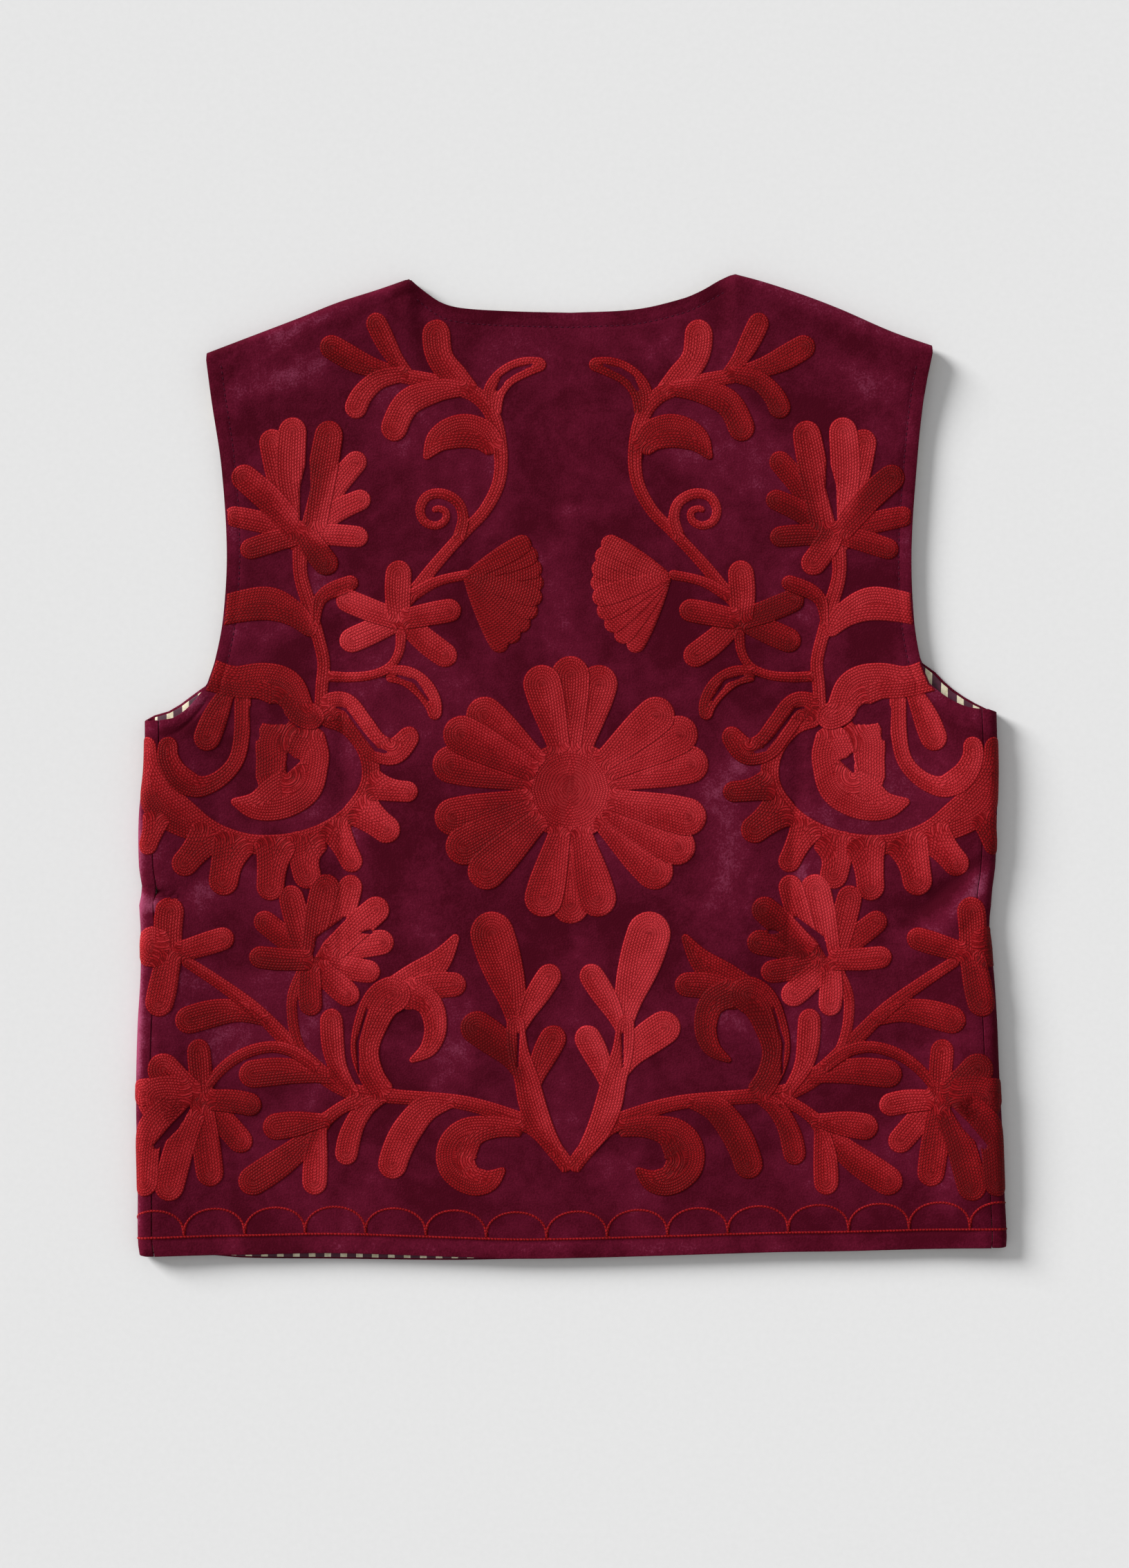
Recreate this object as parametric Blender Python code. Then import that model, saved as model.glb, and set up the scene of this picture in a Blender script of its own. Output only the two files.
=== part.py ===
"""Embroidered velvet waistcoat, laid flat on its front: the cut pieces as cloth walls.

Units in the tables are millimetres. A place on the garment is its distance from the middle,
out to the wearer's left (-X) or right (+X), and its height above the hem line. +Y runs from
the hem to the neck and +Z up from the surface that the waistcoat lies on. The origin is at
the middle of the garment's outline, on that surface.
"""

from collections import namedtuple
from math import acos, cos, exp, hypot, pi, radians, sin

import bmesh
import bpy

MM = 0.001

# Cloth and seams
VELVET = 2.0  # wall of the embroidered velvet with its turnings
LINING = 1.0  # wall of the striped lining
SEAM_GAP = 0.3  # between pieces at a seam, and between layers that lie on each other
LIP_GAP = 2.0  # between the outer lips of a shoulder seam, whose walls come closer inside
SEAM_INSET = 9.0  # the side seam lies on top, this far inside the side fold
HEM_LINE_Y = -282.13  # the hem line's place in Y
MIDDLE_X = 0.12  # the centre back's place in X

# How the layers lie
BACK_TOP = 6.7  # upper face of the back where it lies on the fronts
SHOULDER_TOP = 9.6  # full height of the shoulder rolls
HEM_RISE = 0.7  # the turned hem is thicker
EDGE_REACH = 45.0  # how far in from a side seam the fold's height dies away
SHOULDER_REACH = 55.0
HEM_REACH = 16.0
EDGE_FADE = (300.0, 60.0)  # the side fold's height dies away from here, over this, to the armhole
SEAM_CALM = 14.0  # folds fade out over this distance from a side seam
ROLL_CALM = 20.0  # and over this distance from a shoulder roll
ROLL_START = 8.0  # the shoulder's roll begins this far inside the neck point
ROLL_EASE = 10.0
FRONT_EDGE = {"left": 2.5, "right": 5.5}  # centre front edges, both measured to +X
LINING_INSET = 1.2  # the lining stops short of the front's own turned edge
NECK_DROP = 430.0  # height at which the front neckline leaves the centre front edge
NECK_LEAVE = 0.4  # and the share of the chest's rows below that
NECK_CURVE = 1.25
UNDERARM_DIP = 1.6  # the side fold's top edge sinks this much between its layers

# Side folds: how far out each is and how high it stands, at a height above the hem.
Side = namedtuple("Side", "height left right left_fold right_fold")
SIDES = [
    Side(-2, 251.2, 252.0, 8.6, 8.6),
    Side(7, 252.3, 253.1, 9.4, 9.4),
    Side(40, 252.3, 251.5, 10.6, 10.6),
    Side(75, 253.1, 250.2, 11.2, 11.2),
    Side(105, 253.1, 248.6, 11.4, 11.4),
    Side(135, 252.2, 247.4, 11.2, 11.0),
    Side(160, 250.7, 245.8, 10.8, 10.2),
    Side(190, 250.7, 243.0, 10.6, 9.4),
    Side(204, 251.4, 244.2, 10.4, 9.2),
    Side(210, 249.7, 244.5, 9.6, 9.4),
    Side(225, 251.6, 246.4, 10.8, 10.2),
    Side(255, 251.6, 247.3, 11.4, 11.2),
    Side(282, 248.6, 247.8, 11.0, 11.2),
    Side(318, 248.2, 247.0, 10.2, 10.4),
]

# Armhole edges above the turn under the arm: how far out, at a height above the hem.
Armhole = namedtuple("Armhole", "height left right")
BACK_ARMHOLE = [
    Armhole(331, 211.6, 208.0),
    Armhole(345, 207.2, 202.8),
    Armhole(370, 202.6, 198.9),
    Armhole(410, 200.4, 197.6),
    Armhole(460, 203.4, 200.7),
    Armhole(500, 209.0, 204.8),
    Armhole(525, 212.1, 209.6),
]
FRONT_ARMHOLE = [
    Armhole(331, 211.0, 212.0),
    Armhole(345, 204.8, 203.4),
    Armhole(370, 199.8, 197.2),
    Armhole(410, 197.6, 195.0),
    Armhole(460, 200.6, 198.0),
    Armhole(500, 207.6, 205.4),
    Armhole(525, 212.1, 209.6),
]
TURN_HEIGHT = 331.0  # where the armhole turns outwards under the arm
TIP_HEIGHT = 525.0  # where the armhole meets the shoulder

# Under the arm, from the turn (0) to the side seam (1): how far out and how high.
Underarm = namedtuple("Underarm", "share left left_height right right_height")
BACK_UNDERARM = [
    Underarm(0.0, 211.6, 331.0, 208.0, 331.0),
    Underarm(0.25, 216.4, 324.2, 213.6, 326.2),
    Underarm(0.5, 222.6, 317.0, 221.0, 321.2),
    Underarm(0.75, 230.4, 311.2, 229.6, 317.4),
    Underarm(1.0, 239.2, 309.4, 238.2, 316.0),
]
# The same for a front, to where its floor run ends and the side fold begins.
FRONT_UNDERARM = [
    Underarm(0.0, 211.0, 331.0, 212.0, 337.4),
    Underarm(0.25, 217.2, 326.8, 218.4, 330.8),
    Underarm(0.5, 224.4, 321.4, 225.6, 325.2),
    Underarm(0.75, 232.6, 315.6, 233.8, 320.2),
    Underarm(1.0, 242.9, 312.4, 242.0, 316.2),
]

# Upper edge of the back: neck, then shoulder, mirrored but for the heights.
TopEdge = namedtuple("TopEdge", "out left right")
NECK = [
    TopEdge(0.0, 546.7, 546.7),
    TopEdge(38.0, 547.5, 548.6),
    TopEdge(64.5, 549.2, 554.6),
    TopEdge(76.0, 552.4, 559.4),
    TopEdge(86.0, 559.2, 565.2),
    TopEdge(94.3, 566.4, 569.2),
]
SHOULDER = [
    TopEdge(94.3, 566.4, 569.2),
    TopEdge(112.0, 560.2, 564.4),
    TopEdge(136.5, 552.3, 556.3),
    TopEdge(157.4, 543.9, 548.2),
    TopEdge(186.7, 532.7, 535.4),
    TopEdge(212.1, 523.0, 526.6),
]
NECK_POINT = 94.3

# Hem edges: height at a distance from the middle, -X to +X.
Hem = namedtuple("Hem", "across back front")
HEM = [
    Hem(-253, -1.2, -0.8),
    Hem(-212, 0.0, -1.8),
    Hem(-190, 0.3, -3.5),
    Hem(-139, 1.2, -4.0),
    Hem(-72, -0.8, -4.8),
    Hem(-33, -2.0, -4.2),
    Hem(3, -1.6, -3.6),
    Hem(54, -0.2, -1.6),
    Hem(120, 1.8, 0.0),
    Hem(160, 2.4, 1.6),
    Hem(214, 3.8, 3.2),
    Hem(253, 4.2, 3.8),
]

# Largest soft folds of the back: middle, half length and width, lean from upright, rise.
Fold = namedtuple("Fold", "name across height half_length half_width lean rise")
FOLDS = [
    Fold("left crease", -133, 268, 120, 10, 0, -1.1),
    Fold("right crease", 129, 250, 115, 10, 4, -1.1),
    Fold("right drag", 219, 212, 34, 9, 50, -1.6),
    Fold("right drag ridge", 226, 192, 30, 10, 46, 0.9),
    Fold("left pinch", -236, 207, 12, 8, 105, -1.2),
    Fold("left shoulder swell", -160, 480, 45, 30, 20, 0.9),
    Fold("right shoulder swell", 158, 478, 48, 28, -24, 0.9),
    Fold("waist swell left", -85, 210, 60, 26, 10, 0.8),
    Fold("waist swell right", 92, 175, 66, 28, -8, 0.8),
    Fold("neck sag", 0, 566, 70, 46, 0, -3.2),
]

# Columns of the back and front grids from the middle to the armhole, as distances out.
COLUMNS = [0, 20, 40, 60, 78, NECK_POINT, 110, 123, 133, 143, 160, 178, 196, 211.6]
UNDERARM_COLUMNS = [0.25, 0.5, 0.75, 1.0]
BODY_ROWS = 18
CHEST_ROWS = 12
ROLL_ROWS = 5
FOLD_COLUMNS = 6

COLOURS = {"velvet": (0.075, 0.005, 0.014, 1), "lining": (0.42, 0.36, 0.26, 1)}


def lerp(a, b, share):
    return a + (b - a) * share


def along(table, at, column):
    """Value of a table's named column on a smooth curve through its rows, at its first column."""
    keys = [row[0] for row in table]
    values = [getattr(row, column) for row in table]
    at = min(max(at, keys[0]), keys[-1])
    last = len(keys) - 1
    span = next(i for i in range(last) if at <= keys[i + 1])

    def slope(i):
        low, high = max(i - 1, 0), min(i + 1, last)
        return (values[high] - values[low]) / (keys[high] - keys[low])

    width = keys[span + 1] - keys[span]
    t = (at - keys[span]) / width
    start, end = values[span], values[span + 1]
    bend = (1 - t) * slope(span) - t * slope(span + 1)
    steady = (end - start) * (1 - 2 * t)
    return lerp(start, end, t) + t * (1 - t) * (bend * width - steady)


def fall(distance, reach):
    """1 at no distance, easing to 0 at the reach."""
    t = min(max(distance / reach, 0), 1)
    return (1 - t) ** 2 * (1 + 2 * t)


def side_name(x):
    return "left" if x < 0 else "right"


def sign(side):
    return -1 if side == "left" else 1


def top_edge(x):
    """Height of the back's upper edge at x."""
    table = NECK if abs(x) < NECK_POINT else SHOULDER
    return along(table, abs(x), side_name(x))


def shoulder_share(x):
    """1 over the shoulders, where the cloth rolls to the front, and 0 at the neck."""
    return 1 - fall(abs(x) - NECK_POINT + ROLL_START, ROLL_EASE)


def fold_shape(fold, x, height):
    """The fold's own rise at a point, a long soft swelling or trough."""
    lean = radians(fold.lean)
    dx, dy = x - fold.across, height - fold.height
    down = dx * sin(lean) + dy * cos(lean)
    over = dx * cos(lean) - dy * sin(lean)
    return fold.rise * exp(-((down / fold.half_length) ** 2) - (over / fold.half_width) ** 2)


def back_top(x, height):
    """Height of the back's upper face over the surface, before the shoulder roll."""
    side = side_name(x)
    inside = along(SIDES, height, side) - SEAM_INSET - abs(x)
    edge = (along(SIDES, height, side + "_fold") - BACK_TOP) * fall(inside, EDGE_REACH)
    edge *= fall(height - EDGE_FADE[0], EDGE_FADE[1])
    roll = SHOULDER_TOP / 2
    below = max(top_edge(x) - roll - height, 0)
    shoulder = (SHOULDER_TOP - BACK_TOP) * fall(below, SHOULDER_REACH) * shoulder_share(x)
    hem = HEM_RISE * fall(height, HEM_REACH) * (1 - fall(inside, EDGE_REACH))
    soft = sum(fold_shape(fold, x, height) for fold in FOLDS)
    soft *= (1 - fall(inside, SEAM_CALM)) * (1 - fall(below, ROLL_CALM) * shoulder_share(x))
    return BACK_TOP + hypot(edge, shoulder) + hem + soft


def turned_up(step):
    """Share of the roll's radius still to go outwards, and risen, at a step round a shoulder."""
    full = acos(LIP_GAP / SHOULDER_TOP)
    turn = full * step / ROLL_ROWS
    return 1 - sin(turn), 1 - cos(turn)


def back_columns():
    """Named places across the back: side, kind of column and its distance out or share."""
    inner = [("chest", out) for out in COLUMNS]
    outer = [("underarm", share) for share in UNDERARM_COLUMNS]
    left = [("left", kind, place) for kind, place in reversed(inner + outer)]
    right = [("right", kind, place) for kind, place in (inner + outer)[1:]]
    return left + right


def back_point(column, row):
    """A point on the back's upper face, for a column's place and a row from the hem up."""
    side, kind, place = column
    way = sign(side)
    turn = along(BACK_ARMHOLE, TURN_HEIGHT, side)
    if kind == "chest":
        reach = 0.0
        inner = place / COLUMNS[-1] * turn
        head_height = TURN_HEIGHT
    else:
        seam_head = along(BACK_UNDERARM, 1, side)
        reach = (along(BACK_UNDERARM, place, side) - turn) / (seam_head - turn)
        inner = turn
        head_height = along(BACK_UNDERARM, place, side + "_height")
    foot = lerp(inner, along(SIDES, 0, side) - SEAM_INSET, reach)
    hem = along(HEM, way * foot, "back")
    if row <= BODY_ROWS:
        height = lerp(hem, head_height, row / BODY_ROWS)
        out = lerp(inner, along(SIDES, height, side) - SEAM_INSET, reach)
        return way * out, height, back_top(way * out, height)
    share = place / COLUMNS[-1]
    tip = along(BACK_ARMHOLE, TIP_HEIGHT, side)
    edge_x = way * share * tip
    roll = SHOULDER_TOP / 2
    rolled = shoulder_share(edge_x)
    step = row - BODY_ROWS
    start = top_edge(edge_x) - roll
    if step <= CHEST_ROWS:
        height = lerp(TURN_HEIGHT, start, step / CHEST_ROWS)
        out = share * along(BACK_ARMHOLE, lerp(TURN_HEIGHT, TIP_HEIGHT, step / CHEST_ROWS), side)
        return way * out, height, back_top(way * out, height)
    to_go, risen = turned_up(step - CHEST_ROWS)
    plain = 1 - (step - CHEST_ROWS) / ROLL_ROWS
    height = top_edge(edge_x) - roll * lerp(plain, to_go, rolled)
    return edge_x, height, back_top(edge_x, start) - roll * risen * rolled


def front_columns(side):
    """Places across a front, from the centre edge round the side fold to the seam."""
    inner = [("chest", out / COLUMNS[-1]) for out in COLUMNS[::2] + [COLUMNS[-1]]]
    outer = [("underarm", share) for share in UNDERARM_COLUMNS]
    fold = [("fold", step / FOLD_COLUMNS) for step in range(1, FOLD_COLUMNS + 1)]
    return inner + outer + fold + [("lip", 1.0)]


def neckline(side, share):
    """The front's inner edge from the turn's height (0) up to the neck point (1)."""
    edge = sign(side) * FRONT_EDGE[side]
    if share <= NECK_LEAVE:
        return edge, lerp(TURN_HEIGHT, NECK_DROP, share / NECK_LEAVE)
    bend = (share - NECK_LEAVE) / (1 - NECK_LEAVE)
    out = lerp(edge, NECK_POINT, bend**NECK_CURVE)
    return out, lerp(NECK_DROP, top_edge(sign(side) * NECK_POINT), bend)


def front_point(side, column, row, inset=0.0, lift=0.0):
    """A point on a front's outer face, or on a layer lifted inside it and inset at its edges."""
    kind, share = column
    way = sign(side)
    edge = way * FRONT_EDGE[side] + inset
    turn = along(FRONT_ARMHOLE, TURN_HEIGHT, side) - inset
    turn_height = along(FRONT_UNDERARM, 0, side + "_height") - inset
    fold_head = along(FRONT_UNDERARM, 1, side) - inset
    reach = 0.0
    fold_foot = along(SIDES, 0, side) - along(SIDES, 0, side + "_fold") / 2 - inset / 2
    if kind == "chest":
        foot = lerp(edge, turn, share)
        head_height = lerp(TURN_HEIGHT, turn_height, share**3)
    elif kind == "underarm":
        head = along(FRONT_UNDERARM, share, side) - inset
        head_height = along(FRONT_UNDERARM, share, side + "_height") - inset
        reach = (head - turn) / (fold_head - turn)
        foot = lerp(turn, fold_foot, reach)
    else:
        foot = fold_foot
        floor_end = along(FRONT_UNDERARM, 1, side + "_height")
        seam_end = along(BACK_UNDERARM, 1, side + "_height")
        dip = UNDERARM_DIP * sin(pi * share) if kind == "fold" else 0
        head_height = (lerp(floor_end, seam_end, share) if kind == "fold" else seam_end) - dip
    hem = along(HEM, way * foot, "front") + inset
    if kind in ("fold", "lip"):
        hem = lerp(hem, along(HEM, way * foot, "back"), share)
    if row <= BODY_ROWS:
        height = lerp(hem, head_height, row / BODY_ROWS)
        radius = along(SIDES, height, side + "_fold") / 2
        fold_start = along(SIDES, height, side) - radius
        if kind == "fold":
            turned = pi * share
            return (
                way * (fold_start + radius * sin(turned)),
                height,
                radius * (1 - cos(turned)),
            )
        if kind == "lip":
            seam = along(SIDES, height, side) - SEAM_INSET + SEAM_GAP
            return way * seam, height, 2 * radius
        out = foot if kind == "chest" else lerp(turn, fold_start - inset / 2, reach)
        return way * out, height, lift
    climb = (row - BODY_ROWS) / CHEST_ROWS
    roll = SHOULDER_TOP / 2
    shoulder_out = lerp(NECK_POINT + inset, along(FRONT_ARMHOLE, TIP_HEIGHT, side) - inset, share)
    shoulder = top_edge(way * shoulder_out)
    start = shoulder - roll - inset * 2
    if climb <= 1:
        inner_out, inner_height = neckline(side, climb)
        outer_height = lerp(turn_height, TIP_HEIGHT, climb)
        outer_out = along(FRONT_ARMHOLE, outer_height, side) - inset
        out = lerp(inner_out + inset, outer_out, share)
        foot_height = lerp(TURN_HEIGHT, turn_height, share**3)
        straight = lerp(foot_height, start, climb)
        neck_bend = inner_height - lerp(TURN_HEIGHT, top_edge(way * NECK_POINT), climb)
        height = straight + neck_bend * (1 - share) * (1 - climb)
        return way * out, height, lift
    to_go, risen = turned_up(row - BODY_ROWS - CHEST_ROWS)
    return way * shoulder_out, shoulder - roll * to_go, roll * risen


def material(slot, roughness):
    """A woven cloth in the slot's colour."""
    made = bpy.data.materials.new(slot)
    made.use_nodes = True
    shader = made.node_tree.nodes["Principled BSDF"]
    shader.inputs["Base Color"].default_value = COLOURS[slot]
    shader.inputs["Roughness"].default_value = roughness
    shader.inputs["Metallic"].default_value = 0.0
    return made


def cloth(name, columns, rows, point, chest, wall, finish, face_down=False):
    """A cloth wall from a grid of columns and rows, whose upper rows span the chest only."""
    mesh = bmesh.new()
    across = len(columns) - 1
    bmesh.ops.create_grid(mesh, x_segments=across, y_segments=rows, size=0.5)
    places = {}
    for vertex in mesh.verts:
        column = round((vertex.co.x + 0.5) * across)
        row = round((vertex.co.y + 0.5) * rows)
        places[vertex] = (column, row)
    outside = []
    for face in mesh.faces:
        high = min(places[vertex][1] for vertex in face.verts) >= BODY_ROWS
        on_chest = all(columns[places[vertex][0]] in chest for vertex in face.verts)
        if high and not on_chest:
            outside.append(face)
    bmesh.ops.delete(mesh, geom=outside, context="FACES")
    for vertex in mesh.verts:
        column, row = places[vertex]
        x, height, z = point(columns[column], row)
        vertex.co = ((MIDDLE_X + x) * MM, (HEM_LINE_Y + height) * MM, z * MM)
    mesh.normal_update()
    middle_face = min(mesh.faces, key=lambda face: face.calc_center_median().z)
    if (middle_face.normal.z > 0) == face_down:
        bmesh.ops.reverse_faces(mesh, faces=mesh.faces)
    data = bpy.data.meshes.new(name)
    mesh.to_mesh(data)
    mesh.free()
    data.shade_smooth()
    data.materials.append(finish)
    piece = bpy.data.objects.new(name, data)
    bpy.context.collection.objects.link(piece)
    shell = piece.modifiers.new("cloth wall", "SOLIDIFY")
    shell.thickness = wall * MM
    shell.offset = -1
    return piece


def build_back(velvet):
    columns = back_columns()
    chest = [column for column in columns if column[1] == "chest"]
    rows = BODY_ROWS + CHEST_ROWS + ROLL_ROWS
    return cloth("back", columns, rows, back_point, chest, VELVET, velvet)


def build_front(side, velvet):
    columns = front_columns(side)
    chest = [column for column in columns if column[0] == "chest"]

    def point(column, row):
        return front_point(side, column, row)

    rows = BODY_ROWS + CHEST_ROWS + ROLL_ROWS
    return cloth(side + "_front", columns, rows, point, chest, VELVET, velvet, face_down=True)


def build_lining(side, striped):
    """The front's lining, flat on its inner face up to the side fold and the shoulder roll."""
    flat = [column for column in front_columns(side) if column[0] in ("chest", "underarm")]
    chest = [column for column in flat if column[0] == "chest"]
    top = VELVET + SEAM_GAP + LINING

    def point(column, row):
        return front_point(side, column, row, inset=LINING_INSET, lift=top)

    rows = BODY_ROWS + CHEST_ROWS
    return cloth(side + "_front_lining", flat, rows, point, chest, LINING, striped)


def main():
    for old in list(bpy.data.objects):
        bpy.data.objects.remove(old, do_unlink=True)
    velvet = material("velvet", 0.8)
    striped = material("lining", 0.7)
    build_back(velvet)
    for side in ("left", "right"):
        build_front(side, velvet)
        build_lining(side, striped)


main()
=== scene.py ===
"""Embroidered velvet waistcoat laid flat on its front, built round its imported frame.

Tables give places in millimetres: across is the distance from the centre back, negative to
the wearer's left, and height is measured up from the hem line. Lengths in code are
millimetres until mesh vertices are placed.
"""

from collections import namedtuple
from math import radians

import bmesh
import bpy
import numpy as np
from mathutils import Matrix, Vector


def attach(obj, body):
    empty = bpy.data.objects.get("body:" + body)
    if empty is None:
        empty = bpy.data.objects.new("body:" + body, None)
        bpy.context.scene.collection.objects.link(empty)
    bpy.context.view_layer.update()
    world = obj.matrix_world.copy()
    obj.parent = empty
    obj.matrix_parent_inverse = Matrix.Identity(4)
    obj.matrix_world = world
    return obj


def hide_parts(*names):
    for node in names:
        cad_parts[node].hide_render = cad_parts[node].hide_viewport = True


bl_info = {
    "name": "Embroidered Waistcoat",
    "version": (1, 0, 0),
    "blender": (4, 5, 0),
    "location": "View3D > Sidebar > Waistcoat",
    "description": "Builds a velvet waistcoat with chain-stitched scrolls, laid flat",
    "category": "Object",
}

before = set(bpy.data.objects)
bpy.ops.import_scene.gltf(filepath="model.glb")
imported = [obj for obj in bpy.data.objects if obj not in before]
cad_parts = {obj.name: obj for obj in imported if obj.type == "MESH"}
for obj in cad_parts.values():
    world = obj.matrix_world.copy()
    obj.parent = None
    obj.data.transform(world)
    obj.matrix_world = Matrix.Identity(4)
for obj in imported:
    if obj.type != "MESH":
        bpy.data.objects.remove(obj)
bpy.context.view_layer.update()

MM = 0.001
SIDE_NAMES = ("left", "right")
BODY = "root"

# Cloth and seams
SEAM_GAP = 0.3  # between pieces at a seam, and between layers that lie on each other
SEAM_INSET = 9.0  # the side seam lies on top, this far inside the side fold
HEM_HANG = 1.2  # the back's rounded hem hangs this far below its line
HEM_LINE_Y = -282.13  # the hem line's place in Y
MIDDLE_X = 0.12  # the centre back's place in X
BACK_TOP = 6.7  # upper face of the back where it lies on the fronts
SHOULDER_TOP = 9.6  # full height of the shoulder rolls
HEM_RISE = 0.7  # the turned hem is thicker
EDGE_REACH = 45.0  # how far in from a side seam the fold's height dies away
EDGE_FADE = (300.0, 60.0)  # and it dies away from this height, over this, to the armhole
SHOULDER_REACH = 55.0
HEM_REACH = 16.0
SEAM_CALM = 14.0  # folds fade out over this distance from a side seam
ROLL_CALM = 20.0  # and over this distance from a shoulder roll
ROLL_START = 8.0  # the shoulder's roll begins this far inside the neck point
ROLL_EASE = 10.0
FRONT_EDGE = {"left": 2.5, "right": 5.5}  # centre front edges, both measured to +X
LINING_INSET = 1.2  # the lining stops short of the front's own turned edge
NECK_DROP = 430.0  # height at which the front neckline leaves the centre front edge
NECK_LEAVE = 0.4  # and the share of the chest's rows below that
NECK_CURVE = 1.25
NECK_POINT = 94.3
UNDERARM_DIP = 1.6  # the side fold's top edge sinks this much between its layers
TURNED_EDGE = 0.3  # rounding of a cloth's edges, as a share of its wall
TURN_HEIGHT = 331.0  # where the armhole turns outwards under the arm
TIP_HEIGHT = 525.0  # where the armhole meets the shoulder
ARMHOLE_OUT = 211.6
UNDER_LENGTH = 30.0  # of the edge under the arm, for the spacing of its columns
CHEST_LENGTH = 200.0  # of a front's chest, for the spacing of its rows

Side = namedtuple("Side", "height left right left_fold right_fold")
SIDES = [
    Side(-2, 251.2, 252.0, 8.6, 8.6),
    Side(7, 252.3, 253.1, 9.4, 9.4),
    Side(40, 252.3, 251.5, 10.6, 10.6),
    Side(75, 253.1, 250.2, 11.2, 11.2),
    Side(105, 253.1, 248.6, 11.4, 11.4),
    Side(135, 252.2, 247.4, 11.2, 11.0),
    Side(160, 250.7, 245.8, 10.8, 10.2),
    Side(190, 250.7, 243.0, 10.6, 9.4),
    Side(204, 251.4, 244.2, 10.4, 9.2),
    Side(210, 249.7, 244.5, 9.6, 9.4),
    Side(225, 251.6, 246.4, 10.8, 10.2),
    Side(255, 251.6, 247.3, 11.4, 11.2),
    Side(282, 248.6, 247.8, 11.0, 11.2),
    Side(318, 248.2, 247.0, 10.2, 10.4),
]

Armhole = namedtuple("Armhole", "height left right")
BACK_ARMHOLE = [
    Armhole(331, 211.6, 208.0),
    Armhole(345, 207.2, 202.8),
    Armhole(370, 202.6, 198.9),
    Armhole(410, 200.4, 197.6),
    Armhole(460, 203.4, 200.7),
    Armhole(500, 209.0, 204.8),
    Armhole(525, 212.1, 209.6),
]
FRONT_ARMHOLE = [
    Armhole(331, 211.0, 212.0),
    Armhole(345, 204.8, 203.4),
    Armhole(370, 199.8, 197.2),
    Armhole(410, 197.6, 195.0),
    Armhole(460, 200.6, 198.0),
    Armhole(500, 207.6, 205.4),
    Armhole(525, 212.1, 209.6),
]

# Under the arm, from the turn (0) to the side seam (1): how far out and how high.
Underarm = namedtuple("Underarm", "share left left_height right right_height")
BACK_UNDERARM = [
    Underarm(0.0, 211.6, 331.0, 208.0, 331.0),
    Underarm(0.25, 216.4, 324.2, 213.6, 326.2),
    Underarm(0.5, 222.6, 317.0, 221.0, 321.2),
    Underarm(0.75, 230.4, 311.2, 229.6, 317.4),
    Underarm(1.0, 239.2, 309.4, 238.2, 316.0),
]
FRONT_UNDERARM = [
    Underarm(0.0, 211.0, 331.0, 212.0, 337.4),
    Underarm(0.25, 217.2, 326.8, 218.4, 330.8),
    Underarm(0.5, 224.4, 321.4, 225.6, 325.2),
    Underarm(0.75, 232.6, 315.6, 233.8, 320.2),
    Underarm(1.0, 242.9, 312.4, 242.0, 316.2),
]

TopEdge = namedtuple("TopEdge", "out left right")
NECK = [
    TopEdge(0.0, 546.7, 546.7),
    TopEdge(38.0, 547.5, 548.6),
    TopEdge(64.5, 549.2, 554.6),
    TopEdge(76.0, 552.4, 559.4),
    TopEdge(86.0, 559.2, 565.2),
    TopEdge(94.3, 566.4, 569.2),
]
SHOULDER = [
    TopEdge(94.3, 566.4, 569.2),
    TopEdge(112.0, 560.2, 564.4),
    TopEdge(136.5, 552.3, 556.3),
    TopEdge(157.4, 543.9, 548.2),
    TopEdge(186.7, 532.7, 535.4),
    TopEdge(212.1, 523.0, 526.6),
]

Hem = namedtuple("Hem", "across back front")
HEM = [
    Hem(-253, -1.2, -0.8),
    Hem(-212, 0.0, -1.8),
    Hem(-190, 0.3, -3.5),
    Hem(-139, 1.2, -4.0),
    Hem(-72, -0.8, -4.8),
    Hem(-33, -2.0, -4.2),
    Hem(3, -1.6, -3.6),
    Hem(54, -0.2, -1.6),
    Hem(120, 1.8, 0.0),
    Hem(160, 2.4, 1.6),
    Hem(214, 3.8, 3.2),
    Hem(253, 4.2, 3.8),
]

# Soft folds and creases of the back: middle, half length and width, lean from upright, rise.
Fold = namedtuple("Fold", "name across height half_length half_width lean rise")
FOLDS = [
    Fold("left crease", -133, 268, 120, 10, 0, -1.1),
    Fold("right crease", 129, 250, 115, 10, 4, -1.1),
    Fold("right drag", 219, 212, 34, 9, 50, -1.6),
    Fold("right drag ridge", 226, 192, 30, 10, 46, 0.9),
    Fold("left pinch", -236, 207, 12, 8, 105, -1.2),
    Fold("left shoulder swell", -160, 480, 45, 30, 20, 0.9),
    Fold("right shoulder swell", 158, 478, 48, 28, -24, 0.9),
    Fold("waist swell left", -85, 210, 60, 26, 10, 0.8),
    Fold("waist swell right", 92, 175, 66, 28, -8, 0.8),
    Fold("neck sag", 0, 566, 70, 46, 0, -3.2),
]
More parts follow.
